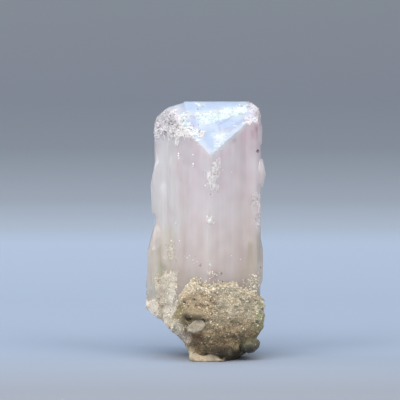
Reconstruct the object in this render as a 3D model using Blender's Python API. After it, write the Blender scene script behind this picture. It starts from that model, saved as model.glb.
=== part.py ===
"""A danburite crystal that stands on a foot of drusy matrix.

The crystal is one upright prism with a roof-shaped end. Its faces stand at the angles that
the orthorhombic cell of danburite gives: the a axis points at the viewer (-Y), the b axis
runs to the right (+X) and the c axis runs up (+Z). The matrix is a granular crust that wraps
the broken lower end. Blender's unit is the metre, and the sizes below are in millimetres.
Angles are in degrees. An azimuth of 0 faces the viewer and 90 faces right.
"""

import math
import random

import bmesh
import bpy
from mathutils import Matrix, Vector, noise
from mathutils.bvhtree import BVHTree

MM = 0.001

# Edges of the unit cell, which give the angles of the prism and of the roof
CELL_A = 8.04
CELL_B = 8.75
CELL_C = 7.73
PRISM_TURN = math.degrees(math.atan2(CELL_A, CELL_B))
ROOF_SLOPE = math.degrees(math.atan2(CELL_C, CELL_A))
PRISM_RUN = CELL_A / CELL_B

# The prism: its front and back edge, the widths of its four main faces, and its worn flanks
RIDGE_HEIGHT = 60.0
FRONT_EDGE = (1.5, -12.0)
BACK_EDGE = (2.2, 12.2)
FRONT_RIGHT_WIDTH = 7.95
FRONT_LEFT_WIDTH = 8.3
BACK_RIGHT_WIDTH = 7.7
BACK_LEFT_WIDTH = 8.2
RIGHT_FLANK = [(11.7, -4.5), (12.8, -1.9), (12.95, 1.4)]
LEFT_FLANK = [(-10.4, 3.7), (-11.9, 2.0), (-11.9, 0.4), (-10.6, -0.8), (-8.8, -2.1)]
PRISM_FOOT = 1.0
SPARE_HEIGHT = 4.0

# The front edge wanders to the left on its way down
EDGE_LEAN = 1.3
LEAN_REACH = 9.0

# Shallow upright steps on the prism faces: their widths as shares of the usual one, the
# levels they may lie at, and the seed of their order
FLUTE_WIDTH = 1.15
FIRST_FLUTE = (0.6, 1.4)
NEXT_FLUTE = (0.6, 1.6)
LAST_FLUTE = 0.6
FLUTE_DEPTH = 0.1
FLUTE_LEVELS = (0.0, 0.5, 1.0)
FLUTE_BEVEL = 0.12
FLUTE_SEED = 4

# The roof: its crest, and growth plates that stand a little proud of it. Their outlines are x
# and the distance down from the ridge
TERRACE_LIFT = 0.3
TERRACE_ROOT = 0.6
FRONT_TERRACE = [(10.0, 1.5), (5.4, 3.1), (2.6, 2.6), (-2.2, 4.3), (-4.4, 3.6), (-5.0, 1.2)]
BACK_TERRACE = [(9.6, 3.4), (4.1, 5.2), (-0.4, 3.0), (-4.6, 2.6)]
RIGHT_TERRACE = [(8.6, 3.6), (9.0, 5.2), (6.3, 8.0), (3.6, 9.6), (3.1, 7.2), (5.0, 5.6), (6.4, 4.0)]
CREST = (0.0, 0.0, RIDGE_HEIGHT - TERRACE_LIFT)
LEFT_CREST = (-5.1, 0.0, RIDGE_HEIGHT - TERRACE_LIFT)
LEFT_ROOF_FRONT = (-0.31, -0.95, 1.0)
LEFT_ROOF_BACK = (-0.31, 0.95, 1.0)
RIDGE_LEFT = -5.1
RIDGE_RIGHT = 10.2
PAST_RIDGE = -0.22

# Faces that wear the corners of the roof: a point on each, its azimuth and its slope
WORN_CORNERS = [
    ((-5.8, -5.3, 52.5), -PRISM_TURN, 72),
    ((-9.7, -1.5, 56.0), -56, 71),
    ((-11.2, 0.0, 56.8), -90, 71),
    ((-9.3, 0.0, 58.5), -90, 42),
    ((-8.8, 4.9, 56.4), -132, 66),
    ((10.4, 0.0, RIDGE_HEIGHT - 0.1), 90, 39),
    ((12.35, 0.0, 58.3), 84, 78),
    ((12.4, -3.2, 56.2), 62, 60),
    ((9.9, 5.1, 55.0), 140, 62),
]

# The broken lower end: a point on each rough plane and its outward direction
BREAK_PLANES = [
    ((-13.6, 0.0, 11.6), (-0.76, 0.10, -1.0)),
    ((-8.4, -4.0, 8.3), (-0.70, -0.50, -1.0)),
    ((2.0, 0.0, 4.6), (0.05, -0.08, -1.0)),
    ((9.4, 0.0, 4.9), (1.82, 0.20, -1.0)),
    ((0.0, -7.0, 4.9), (0.10, -0.80, -1.0)),
    ((0.0, 7.5, 5.2), (-0.20, 0.75, -1.0)),
]

# Narrow crystals grown parallel to the prism: centre, half sizes, heights, tilt, and the end
# faces as azimuth and slope (over 90 faces down)
RIBS = {
    "left_upper_rib": (
        (-11.4, 0.9), (1.4, 2.2), (32.6, 48.5), -2.4, [(-90, 80), (0, 55), (180, 55), (-90, 126)]
    ),
    "left_lower_rib": ((-11.7, 0.7), (1.95, 3.0), (0.0, 33.0), 0.0, [(-90, 77), (-20, 62), (160, 62)]),
    "right_lower_rib": (
        (12.1, 0.2), (1.3, 2.6), (15.0, 32.6), 0.0, [(90, 80), (20, 60), (160, 60), (90, 112)]
    ),
    "right_middle_rib": ((12.2, -1.2), (1.25, 1.9), (33.4, 38.8), 0.0, [(90, 78), (20, 60), (90, 110)]),
    "flank_rib": ((-9.6, -1.7), (0.8, 1.1), (21.0, 41.0), -0.6, [(-40, 66), (-40, 118)]),
    "flank_rib_high": ((-7.9, -3.0), (0.7, 1.0), (33.0, 47.0), 0.0, [(-40, 68), (-40, 116)]),
    "back_rib": ((-2.9, 7.2), (2.4, 1.2), (19.0, 43.0), 0.0, [(170, 62), (100, 58), (170, 122)]),
    "back_rib_right": ((7.2, 6.7), (2.0, 1.3), (24.0, 50.0), 0.0, [(150, 60), (90, 64), (150, 118)]),
}
RIB_NOSE = 0.35

# Rounded swellings of the right side: centre, radii
BULGES = {
    "right_bulge": ((12.3, -0.6, 43.2), (1.8, 3.0, 3.9)),
    "right_upper_bulge": ((11.9, -0.8, 52.2), (1.45, 2.6, 3.6)),
}
BULGE_ROUGHNESS = 0.07

# Etched grains on the crystal: centre, spread, smallest and largest size, and count
CRYSTAL_GRAINS = [
    ((-8.2, -3.4, 54.6), (2.6, 1.0, 2.0), (0.4, 0.65), 16),
    ((-11.2, 0.4, 54.2), (0.8, 1.6, 1.5), (0.35, 0.6), 7),
    ((11.9, -3.4, 57.2), (0.6, 1.0, 0.9), (0.3, 0.5), 4),
    ((1.4, -12.6, 42.0), (0.5, 0.3, 3.0), (0.3, 0.5), 7),
    ((-9.8, -3.0, 16.6), (0.9, 0.6, 2.6), (0.5, 0.9), 13),
    ((11.2, -5.4, 17.4), (0.6, 0.5, 2.0), (0.4, 0.7), 8),
    ((1.0, -12.6, 20.6), (1.6, 0.3, 0.6), (0.4, 0.7), 5),
]
CRYSTAL_GRAIN_SINK = 0.18
CRYSTAL_SEED = 11

# The crust: the middle it is measured from, and its plans, counterclockwise, at its widest
# level and where it stands
MATRIX_CENTRE = (2.5, 0.0)
CRUST_OUTLINE = [
    (-2.6, -11.3), (0.6, -13.0), (5.2, -11.2), (9.6, -7.6), (12.0, -4.7), (12.7, -1.0),
    (12.7, 2.2), (11.2, 6.0), (7.2, 10.2), (2.4, 13.0), (-2.6, 11.0), (-6.4, 7.8),
    (-8.4, 4.4), (-8.2, 1.0), (-8.4, -2.0), (-8.3, -5.0), (-5.9, -8.2),
]
FOOT_OUTLINE = [
    (-2.6, -5.6), (1.2, -7.4), (5.2, -6.6), (7.6, -3.6), (8.4, 1.2), (6.8, 5.4),
    (2.4, 6.8), (-1.6, 5.4), (-2.9, 1.6), (-3.0, -2.6),
]
# Turn, counterclockwise from the right, and the height of the crust's upper rim
RIM_STOPS = [
    (0, 13.6), (40, 15.0), (75, 17.0), (105, 14.6), (140, 13.0), (165, 8.2),
    (195, 8.2), (210, 11.6), (219, 16.8), (232, 18.2), (262, 17.6), (292, 17.8),
    (322, 16.0), (345, 13.6),
]
# Turn and the power of the taper towards the foot: above 1 hollow, below 1 bulging
TAPER_STOPS = [(0, 0.95), (60, 0.6), (120, 0.9), (180, 1.9), (225, 1.6), (270, 0.7), (330, 0.8)]
TAPER_TOP = 7.3
RIM_THICKNESS = 0.6
PRISM_EDGE_TURNS = (91, 262, 328)
EDGE_COVER = 0.5
EDGE_COVER_REACH = 8.0
BELLY_SHARE = 0.5
BELLY_POWER = 1.6
BARE_LEFT_TURN = -0.88
RING_COUNT = 14
RING_POINTS = 62
RING_CROWDING = 1.12
POINT_JITTER = 0.35
HOLLOW_TOP = 7.0

# How rough the crust is: the height of each wave, how many fit in a millimetre, and where in
# the noise it starts. The right side is calmer, and the rim's wave fades quickly below the rim
SLOW_WAVE = 0.75
SLOW_PER_MM = 0.26
QUICK_WAVE = 0.45
QUICK_PER_MM = 0.75
QUICK_START = Vector((5, 1, 3))
RIM_WAVE = 1.5
RIM_PER_MM = 0.42
RIM_START = Vector((9, 4, 2))
RIM_FADE = 3
DEEPEST_WAVE = -0.1
FLATTEST_EDGE = 0.25
CALM_SHARE = 0.7
CALM_FADE = 6

# Small crystal points raised on the crust's skin
STUD_RISE = 0.42
LOWEST_STUD = 0.1
STUD_LEAN = 0.2
BARE_SHARE = 0.18
STUD_FOOT = 0.6
CRUST_SEED = 7

# Grains on the crust: turns, share of the rim's height, smallest and largest size, and count
MATRIX_GRAINS = [
    ((265, 350), (0.17, 0.93), (0.55, 1.15), 34),
    ((228, 268), (0.64, 0.94), (0.5, 1.0), 10),
    ((225, 290), (0.14, 0.5), (0.45, 0.9), 9),
    ((-10, 60), (0.2, 0.9), (0.22, 0.4), 9),
    ((60, 150), (0.2, 0.9), (0.6, 1.15), 16),
]
MATRIX_GRAIN_SINK = 0.15
MATRIX_SEED = 23
GRAIN_STOUTNESS = 1.3
GRAIN_TIP = (0.3, 1.2)

# Larger features of the crust: a bent lobe, a leaning flake, the foot's ledge and two lumps
LOBE_PATH = [
    (-5.2, -7.9, 9.1), (-5.1, -8.8, 10.5), (-4.0, -10.2, 11.3), (-2.4, -11.6, 11.5),
    (-0.8, -12.7, 11.1), (0.6, -13.3, 10.7),
]
LOBE_RADII = (0.55, 0.85, 0.95, 0.95, 0.8, 0.45)
LOBE_SIDES = 8
FLAKE_OUTLINE = [
    (-4.3, 7.9), (-3.9, 7.1), (-2.5, 6.7), (-1.0, 7.2), (-0.3, 8.3), (-1.0, 9.3), (-2.0, 9.8), (-3.1, 8.8),
]
FLAKE_DEPTHS = (-12.3, -10.0)
FLAKE_TURN = -16
FLAKE_TIP = -12
PLATE_OUTLINE = [
    (-3.7, -2.6), (-3.9, -5.2), (-3.6, -7.3), (-2.4, -8.3), (-0.4, -8.8), (1.9, -8.5),
    (3.6, -8.7), (4.7, -7.6), (4.4, -5.6), (2.0, -2.4),
]
PLATE_TOP = ((-3.7, -6.0, 2.9), (0.27, -0.12, 1.0))
PLATE_HEIGHT = 4.0
MATRIX_LUMPS = {
    "right_lobe": ((10.1, -1.4, 3.5), (2.45, 3.2, 1.9)),
    "green_lump": ((6.5, -6.9, 3.5), (1.4, 1.7, 1.4)),
}
LUMP_ROUGHNESS = 0.08
# Place and size of the small dark holes in the crust
MATRIX_PITS = [
    ((-2.9, -11.2, 14.4), 0.5),
    ((-5.2, -8.6, 13.5), 0.45),
    ((-3.8, -10.9, 10.1), 0.5),
    ((-1.0, -12.7, 9.8), 0.45),
    ((4.4, -11.4, 8.0), 0.45),
    ((8.2, -8.7, 5.6), 0.5),
]

# The gap between the crystal and its seat, and the height up to which the seat is cut
CLEARANCE = 0.3
SEAT_TOP = 30.0

# The whole is moved so that its box stands centred on the origin
SHIFT = Vector((-0.215, 0.115, 0.0))

# How far a point may lie from a cutting plane and still count as on it
ON_PLANE = 1e-5

# Linear colour and roughness of the two materials
DANBURITE_FINISH = ((0.62, 0.54, 0.56), 0.25)
DRUSE_FINISH = ((0.40, 0.32, 0.22), 0.85)


def clear_scene():
    for old in list(bpy.data.objects):
        bpy.data.objects.remove(old, do_unlink=True)


def material(name, colour, roughness):
    """A plain Principled material. The colour is linear red, green and blue."""
    made = bpy.data.materials.new(name)
    made.use_nodes = True
    shader = made.node_tree.nodes["Principled BSDF"]
    shader.inputs["Base Color"].default_value = (*colour, 1.0)
    shader.inputs["Roughness"].default_value = roughness
    shader.inputs["Metallic"].default_value = 0.0
    return made


def add_object(name, bm, group=None):
    """Turns a mesh in millimetres into an object in metres. One in a group is a helper."""
    bmesh.ops.recalc_face_normals(bm, faces=bm.faces)
    bmesh.ops.translate(bm, verts=bm.verts, vec=SHIFT)
    bmesh.ops.scale(bm, verts=bm.verts, vec=(MM, MM, MM))
    mesh = bpy.data.meshes.new(name)
    bm.to_mesh(mesh)
    bm.free()
    made = bpy.data.objects.new(name, mesh)
    bpy.context.scene.collection.objects.link(made)
    if group is not None:
        group.objects.link(made)
        made.hide_render = True
        made.display_type = "WIRE"
    return made


def combine(target, group, operation):
    """Joins or cuts the target with everything in a group of helpers."""
    step = target.modifiers.new(operation.lower() + "_" + group.name, "BOOLEAN")
    step.operation = operation
    step.operand_type = "COLLECTION"
    step.collection = group
    step.solver = "EXACT"


def slope_normal(azimuth, slope):
    """Outward normal of a face, from its azimuth and its slope."""
    turn = math.radians(azimuth)
    tip = math.radians(slope)
    flat = math.sin(tip)
    return Vector((flat * math.sin(turn), -flat * math.cos(turn), math.cos(tip)))


def cut(bm, point, normal):
    """Removes what lies outside a plane and closes the cut with one flat face."""
    everything = bm.verts[:] + bm.edges[:] + bm.faces[:]
    bmesh.ops.bisect_plane(
        bm, geom=everything, dist=ON_PLANE, plane_co=point, plane_no=normal, clear_outer=True
    )
    rim = [edge for edge in bm.edges if edge.is_boundary]
    if rim:
        bmesh.ops.contextual_create(bm, geom=rim)


def bridge(bm, low, high):
    """Joins two rings of points with a band of faces, and gives those faces back."""
    count = len(low)
    band = []
    for i in range(count):
        after = (i + 1) % count
        band.append(bm.faces.new((low[i], low[after], high[after], high[i])))
    return band


def prism_between(low_ring, high_ring):
    """A closed form between two rings of corners, both counterclockwise seen from the top."""
    bm = bmesh.new()
    low = [bm.verts.new(corner) for corner in low_ring]
    high = [bm.verts.new(corner) for corner in high_ring]
    bm.faces.new(high)
    bm.faces.new(low[::-1])
    bridge(bm, low, high)
    return bm


def upright(outline, low, high, lower_outline=None):
    """A column between two heights. The lower outline may differ from the upper one."""
    foot = [(x, y, low) for x, y in (lower_outline or outline)]
    return prism_between(foot, [(x, y, high) for x, y in outline])


def along_face(edge, reach, towards_back):
    """The corner at the far end of a main prism face, which starts at the front or back edge."""
    x, y = edge
    run = abs(reach) * PRISM_RUN
    return (x + reach, y - run if towards_back else y + run)


def crystal_outline():
    """Corners of the prism seen from above, counterclockwise from the front edge."""
    return [
        FRONT_EDGE,
        along_face(FRONT_EDGE, FRONT_RIGHT_WIDTH, False),
        *RIGHT_FLANK,
        along_face(BACK_EDGE, BACK_RIGHT_WIDTH, True),
        BACK_EDGE,
        along_face(BACK_EDGE, -BACK_LEFT_WIDTH, True),
        *LEFT_FLANK,
        along_face(FRONT_EDGE, -FRONT_LEFT_WIDTH, False),
    ]


def fluted(corners, draw):
    """The outline with each long side broken into shallow upright steps."""
    points = []
    for i, corner in enumerate(corners):
        start = Vector(corner)
        end = Vector(corners[(i + 1) % len(corners)])
        length = (end - start).length
        along = (end - start).normalized()
        inward = Vector((-along.y, along.x))
        points.append(start)
        place = FLUTE_WIDTH * draw.uniform(*FIRST_FLUTE)
        before = 0.0
        while place < length - FLUTE_WIDTH * LAST_FLUTE:
            sink = draw.choice(FLUTE_LEVELS) * FLUTE_DEPTH
            if sink != before:
                points.append(start + along * (place - FLUTE_BEVEL) + inward * before)
                points.append(start + along * (place + FLUTE_BEVEL) + inward * sink)
                before = sink
            place += FLUTE_WIDTH * draw.uniform(*NEXT_FLUTE)
        if before:
            points.append(end - along * 2 * FLUTE_BEVEL + inward * before)
    return [(point.x, point.y) for point in points]


def leaned(outline):
    """The lower outline, with the front edge further left than at the top."""
    front = Vector(FRONT_EDGE)
    moved = []
    for x, y in outline:
        near = max(0.0, 1.0 - (Vector((x, y)) - front).length / LEAN_REACH)
        moved.append((x - EDGE_LEAN * near, y))
    return moved


def widened(corners, by):
    """A counterclockwise outline with every side moved outwards by the same distance."""
    sharpest = 0.35
    moved = []
    for i, corner in enumerate(corners):
        here = Vector(corner)
        before = (here - Vector(corners[i - 1])).normalized()
        after = (Vector(corners[(i + 1) % len(corners)]) - here).normalized()
        side = Vector((before.y, -before.x))
        out = (side + Vector((after.y, -after.x))).normalized()
        moved.append(here + out * by / max(sharpest, out.dot(side)))
    return [(point.x, point.y) for point in moved]


def break_off(bm, grow):
    """Cuts the broken lower end. Grow moves its planes outwards."""
    for point, direction in BREAK_PLANES:
        normal = Vector(direction).normalized()
        cut(bm, Vector(point) + normal * grow, normal)


def roof(bm):
    """Cuts the roof-shaped end: two even faces, a lower left roof and the worn corners."""
    cut(bm, CREST, slope_normal(0, ROOF_SLOPE))
    cut(bm, CREST, slope_normal(180, ROOF_SLOPE))
    cut(bm, LEFT_CREST, Vector(LEFT_ROOF_FRONT).normalized())
    cut(bm, LEFT_CREST, Vector(LEFT_ROOF_BACK).normalized())
    for point, azimuth, slope in WORN_CORNERS:
        cut(bm, point, slope_normal(azimuth, slope))


def main_column():
    """The prism itself, with its flutes, its roof and its broken end."""
    corners = fluted(crystal_outline(), random.Random(FLUTE_SEED))
    bm = upright(corners, PRISM_FOOT, RIDGE_HEIGHT + SPARE_HEIGHT, leaned(corners))
    roof(bm)
    break_off(bm, 0.0)
    return add_object("danburite_crystal", bm)


def crystal_seat(group):
    """The plain form, a little wider than the prism, that hollows the matrix."""
    corners = crystal_outline()
    upper = widened(corners, CLEARANCE)
    lower = widened(leaned(corners), CLEARANCE)
    bm = upright(upper, PRISM_FOOT, RIDGE_HEIGHT + SPARE_HEIGHT, lower)
    cut(bm, (0.0, 0.0, SEAT_TOP), (0.0, 0.0, 1.0))
    break_off(bm, CLEARANCE)
    return add_object("crystal_seat", bm, group)


def rib(name, group):
    """A narrow parallel crystal: a small eight-sided column with slanted ends."""
    (x, y), (wide, deep), (low, high), tilt, ends = RIBS[name]
    nose_x = wide * RIB_NOSE
    nose_y = deep * RIB_NOSE
    outline = [
        (x - nose_x, y - deep),
        (x + nose_x, y - deep),
        (x + wide, y - nose_y),
        (x + wide, y + nose_y),
        (x + nose_x, y + deep),
        (x - nose_x, y + deep),
        (x - wide, y + nose_y),
        (x - wide, y - nose_y),
    ]
    bm = upright(outline, low - SPARE_HEIGHT, high + SPARE_HEIGHT)
    pivot = Matrix.Translation((x, y, (low + high) / 2))
    turn = pivot @ Matrix.Rotation(math.radians(tilt), 4, "Y") @ pivot.inverted()
    bmesh.ops.transform(bm, matrix=turn, verts=bm.verts)
    for azimuth, slope in ends:
        cut(bm, (x, y, high if slope < 90 else low), slope_normal(azimuth, slope))
    break_off(bm, 0.0)
    return add_object(name, bm, group)


def knob(name, group, centre, radii, roughness, draw):
    """A rounded lump with an uneven skin."""
    bm = bmesh.new()
    bmesh.ops.create_icosphere(bm, subdivisions=2, radius=1.0)
    for vert in bm.verts:
        vert.co *= 1.0 + draw.uniform(-roughness, roughness)
        vert.co = Vector(centre) + vert.co * Vector(radii)
    return add_object(name, bm, group)


def terrace(name, group, outline, side):
    """A thin plate on a roof face. Its outline is x and the distance down from the ridge."""
    slope = math.radians(ROOF_SLOPE)
    out = Vector((0.0, side * math.sin(slope), math.cos(slope)))
    down = Vector((0.0, side * math.cos(slope), -math.sin(slope)))
    feet = [Vector((x, 0.0, CREST[2])) + down * distance for x, distance in outline]
    root = [foot - out * TERRACE_ROOT for foot in feet]
    top = [foot + out * TERRACE_LIFT * math.cos(slope) for foot in feet]
    return add_object(name, prism_between(root, top), group)


def grow_terraces(group):
    """Growth steps that leave the ridge a little higher than the roof faces below it."""
    edge = [(RIDGE_LEFT, PAST_RIDGE), (RIDGE_RIGHT, PAST_RIDGE)]
    terrace("front_terrace", group, edge + FRONT_TERRACE, -1)
    terrace("right_terrace", group, RIGHT_TERRACE, -1)
    terrace("back_terrace", group, edge + BACK_TERRACE, 1)


def block(name, group, place, size, draw):
    """One blocky grain, turned at random."""
    bm = bmesh.new()
    bmesh.ops.create_cube(bm, size=size * GRAIN_STOUTNESS)
    turn = Matrix.Rotation(draw.uniform(0, math.tau), 4, "Z")
    tip = Matrix.Rotation(draw.uniform(*GRAIN_TIP), 4, "X")
    bmesh.ops.transform(bm, matrix=Matrix.Translation(place) @ turn @ tip, verts=bm.verts)
    return add_object(name, bm, group)


def skin_of(host):
    return BVHTree.FromObject(host, bpy.context.evaluated_depsgraph_get())


def crystal_grains(group, host, draw):
    """Blocky grains sunk into the crystal's skin, in patches."""
    skin = skin_of(host)
    for patch, (centre, spread, sizes, count) in enumerate(CRYSTAL_GRAINS):
        for i in range(count):
            place = Vector(c + draw.uniform(-1, 1) * s for c, s in zip(centre, spread))
            on_skin, normal, _, _ = skin.find_nearest((place + SHIFT) * MM)
            size = draw.uniform(*sizes)
            seat = on_skin / MM - SHIFT - normal * size * CRYSTAL_GRAIN_SINK
            block(f"etch_grain_{patch}_{i}", group, seat, size, draw)


def make_crystal():
    crystal = main_column()
    growths = bpy.data.collections.new("growths")
    draw = random.Random(CRYSTAL_SEED)
    for name in RIBS:
        rib(name, growths)
    for name, (centre, radii) in BULGES.items():
        knob(name, growths, centre, radii, BULGE_ROUGHNESS, draw)
    grow_terraces(growths)
    crystal_grains(growths, crystal, draw)
    combine(crystal, growths, "UNION")
    crystal.data.materials.append(material("danburite", *DANBURITE_FINISH))


def reach_of(outline, angle):
    """How far an outline lies from the matrix's middle along one direction."""
    middle = Vector(MATRIX_CENTRE)
    way = Vector((math.cos(angle), math.sin(angle)))
    reach = 0.0
    for i, corner in enumerate(outline):
        start = Vector(corner) - middle
        side = Vector(outline[(i + 1) % len(outline)]) - Vector(corner)
        across = way.cross(side)
        if across:
            share = start.cross(way) / across
            far = start.cross(side) / across
            if far > 0 and 0 <= share <= 1:
                reach = max(reach, far)
    return reach


def around(stops, angle):
    """Reads a smooth closed curve through values given at turns in degrees."""
    turn = math.degrees(angle) % 360
    for i, (start, value) in enumerate(stops):
        end, after = stops[(i + 1) % len(stops)]
        part = ((turn - start) % 360) / ((end - start) % 360)
        if part <= 1:
            soft = part * part * (3 - 2 * part)
            return value + (after - value) * soft
    return stops[0][1]


def crust_point(angle, share, wall_outline):
    """A point on the outside of the crust, before it is roughened."""
    height = around(RIM_STOPS, angle) * share
    belly = reach_of(CRUST_OUTLINE, angle)
    rim = reach_of(wall_outline, angle) + RIM_THICKNESS
    for edge in PRISM_EDGE_TURNS:
        rim += EDGE_COVER * math.exp(-(((math.degrees(angle) - edge) / EDGE_COVER_REACH) ** 2))
    if math.cos(angle) > BARE_LEFT_TURN:
        belly = max(belly, rim)
    rim = min(belly, rim)
    close = max(0.0, (share - BELLY_SHARE) / (1.0 - BELLY_SHARE))
    reach = belly + (rim - belly) * close ** BELLY_POWER
    if height < TAPER_TOP:
        foot = reach_of(FOOT_OUTLINE, angle)
        reach = foot + (reach - foot) * (height / TAPER_TOP) ** around(TAPER_STOPS, angle)
    x = MATRIX_CENTRE[0] + math.cos(angle) * reach
    y = MATRIX_CENTRE[1] + math.sin(angle) * reach
    return Vector((x, y, height))


def roughened(point, share):
    """Pushes a point of the crust in or out by slow and quick noise."""
    way = Vector((point.x - MATRIX_CENTRE[0], point.y - MATRIX_CENTRE[1], 0.0)).normalized()
    slow = noise.noise(point * SLOW_PER_MM)
    quick = noise.noise(point * QUICK_PER_MM + QUICK_START)
    calm = 1.0 - CALM_SHARE * max(0.0, way.x) ** CALM_FADE
    moved = point + way * max(SLOW_WAVE * slow + QUICK_WAVE * quick, DEEPEST_WAVE) * calm
    moved.z += RIM_WAVE * noise.noise(point * RIM_PER_MM + RIM_START) * share ** RIM_FADE
    moved.z = max(moved.z, FLATTEST_EDGE)
    return moved


def crust_form():
    """The crust as uneven rings of points from the foot up to the rim, then studded."""
    outline = leaned(crystal_outline())
    draw = random.Random(CRUST_SEED)
    bm = bmesh.new()
    rings = []
    for level in range(RING_COUNT):
        ring = []
        for i in range(RING_POINTS):
            turn = i + (draw.uniform(-POINT_JITTER, POINT_JITTER) if level else 0.0)
            inside = 0 < level < RING_COUNT - 1
            rank = level + (draw.uniform(-POINT_JITTER, POINT_JITTER) if inside else 0.0)
            share = (rank / (RING_COUNT - 1)) ** RING_CROWDING
            point = crust_point(math.tau * turn / RING_POINTS, share, outline)
            if level:
                point = roughened(point, share)
            ring.append(bm.verts.new(point))
        rings.append(ring)
    skin = []
    for low, high in zip(rings, rings[1:]):
        skin += bridge(bm, low, high)
    bm.faces.new(rings[0][::-1])
    crown = bm.verts.new((*MATRIX_CENTRE, HOLLOW_TOP))
    for i in range(RING_POINTS):
        bm.faces.new((rings[-1][i], rings[-1][(i + 1) % RING_POINTS], crown))
    stud(bm, skin, draw)
    return bm


def stud(bm, skin, draw):
    """Raises a small crystal point out of most faces of the crust's skin."""
    bm.normal_update()
    for side in skin:
        if side.calc_center_median().z < STUD_FOOT or draw.random() < BARE_SHARE:
            continue
        rise = STUD_RISE * draw.uniform(LOWEST_STUD, 1.0)
        made = bmesh.ops.poke(bm, faces=[side], offset=rise, center_mode="MEAN_WEIGHTED")
        for vert in made["verts"]:
            vert.co += Vector(draw.uniform(-STUD_LEAN, STUD_LEAN) for _ in range(3))


def matrix_grains(group, host, draw):
    """Blocky grains on the crust, found by looking inwards from outside it."""
    skin = skin_of(host)
    middle = Vector((*MATRIX_CENTRE, 0.0)) + SHIFT
    for patch, (turns, shares, sizes, count) in enumerate(MATRIX_GRAINS):
        for i in range(count):
            turn = math.radians(draw.uniform(*turns))
            way = Vector((math.cos(turn), math.sin(turn), 0.0))
            outside = middle + way * SEAT_TOP
            outside.z = around(RIM_STOPS, turn) * draw.uniform(*shares)
            hit = skin.ray_cast(outside * MM, -way)[0]
            size = draw.uniform(*sizes)
            seat = hit / MM - SHIFT - way * size * MATRIX_GRAIN_SINK
            block(f"druse_grain_{patch}_{i}", group, seat, size, draw)


def curved_lobe(group):
    """A bent, tapering lobe through a few points."""
    bm = bmesh.new()
    rings = []
    for i, point in enumerate(LOBE_PATH):
        ahead = Vector(LOBE_PATH[min(i + 1, len(LOBE_PATH) - 1)])
        behind = Vector(LOBE_PATH[max(i - 1, 0)])
        along = (ahead - behind).normalized()
        across = along.cross(Vector((0.0, 0.0, 1.0))).normalized()
        up = across.cross(along)
        ring = []
        for step in range(LOBE_SIDES):
            turn = math.tau * step / LOBE_SIDES
            spoke = across * math.cos(turn) + up * math.sin(turn)
            ring.append(bm.verts.new(Vector(point) + spoke * LOBE_RADII[i]))
        rings.append(ring)
    for low, high in zip(rings, rings[1:]):
        bridge(bm, low, high)
    bm.faces.new(rings[0][::-1])
    bm.faces.new(rings[-1])
    return add_object("curved_lobe", bm, group)


def flake(group):
    """A thin plate that leans on the crust. Its outline is x and height."""
    front, back = FLAKE_DEPTHS
    near = [Vector((x, front, z)) for x, z in FLAKE_OUTLINE]
    far = [Vector((x, back, z)) for x, z in FLAKE_OUTLINE]
    bm = prism_between(far, near)
    pivot = Matrix.Translation(sum(near + far, Vector()) / len(near + far))
    turn = Matrix.Rotation(math.radians(FLAKE_TURN), 4, "Z")
    tip = Matrix.Rotation(math.radians(FLAKE_TIP), 4, "X")
    bmesh.ops.transform(bm, matrix=pivot @ turn @ tip @ pivot.inverted(), verts=bm.verts)
    return add_object("flake", bm, group)


def foot_plate(group):
    """The thin ledge under the front of the crust, high on the left and fading to the right."""
    bm = upright(PLATE_OUTLINE, 0.0, PLATE_HEIGHT)
    point, normal = PLATE_TOP
    cut(bm, point, normal)
    return add_object("foot_plate", bm, group)


def pit(name, group, place, size):
    """A small pointed hollow."""
    bm = bmesh.new()
    bmesh.ops.create_icosphere(bm, subdivisions=1, radius=size)
    bmesh.ops.translate(bm, verts=bm.verts, vec=place)
    return add_object(name, bm, group)


def loose_pieces(bm):
    """The points of each separate piece of a mesh, the largest piece last."""
    unseen = set(bm.verts)
    pieces = []
    while unseen:
        front = [unseen.pop()]
        piece = list(front)
        while front:
            for edge in front.pop().link_edges:
                for other in edge.verts:
                    if other in unseen:
                        unseen.remove(other)
                        front.append(other)
                        piece.append(other)
        pieces.append(piece)
    return sorted(pieces, key=len)


def settle(made):
    """Applies the joins and cuts, and drops the crumbs that a cut leaves loose."""
    graph = bpy.context.evaluated_depsgraph_get()
    mesh = bpy.data.meshes.new_from_object(made.evaluated_get(graph))
    made.modifiers.clear()
    bm = bmesh.new()
    bm.from_mesh(mesh)
    for piece in loose_pieces(bm)[:-1]:
        bmesh.ops.delete(bm, geom=piece, context="VERTS")
    bm.to_mesh(mesh)
    bm.free()
    made.data = mesh


def make_matrix():
    matrix = add_object("drusy_matrix", crust_form())
    lumps = bpy.data.collections.new("lumps")
    draw = random.Random(MATRIX_SEED)
    matrix_grains(lumps, matrix, draw)
    curved_lobe(lumps)
    flake(lumps)
    foot_plate(lumps)
    for name, (centre, radii) in MATRIX_LUMPS.items():
        knob(name, lumps, centre, radii, LUMP_ROUGHNESS, draw)
    combine(matrix, lumps, "UNION")
    hollow = bpy.data.collections.new("hollow")
    crystal_seat(hollow)
    for i, (place, size) in enumerate(MATRIX_PITS):
        pit(f"pit_{i}", hollow, place, size)
    combine(matrix, hollow, "DIFFERENCE")
    settle(matrix)
    matrix.data.materials.append(material("druse", *DRUSE_FINISH))


clear_scene()
make_crystal()
make_matrix()
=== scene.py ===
# %% [markdown]
# # A danburite crystal on its drusy foot
#
# The real thing is a pale pink, milky crystal of danburite, six centimetres tall, that still stands on
# the granular crust it grew from. The crystal is one upright prism with a roof-shaped end, and the crust
# wraps its broken lower end like wet sugar. The plain solids are packed already. This lesson dresses
# them: it gives them their fine surface, their grains and their materials, and it lights them softly.

# %% Load the solids
import math

import bpy
import numpy as np
from mathutils import Matrix, Vector, noise
from mathutils.bvhtree import BVHTree


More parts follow.
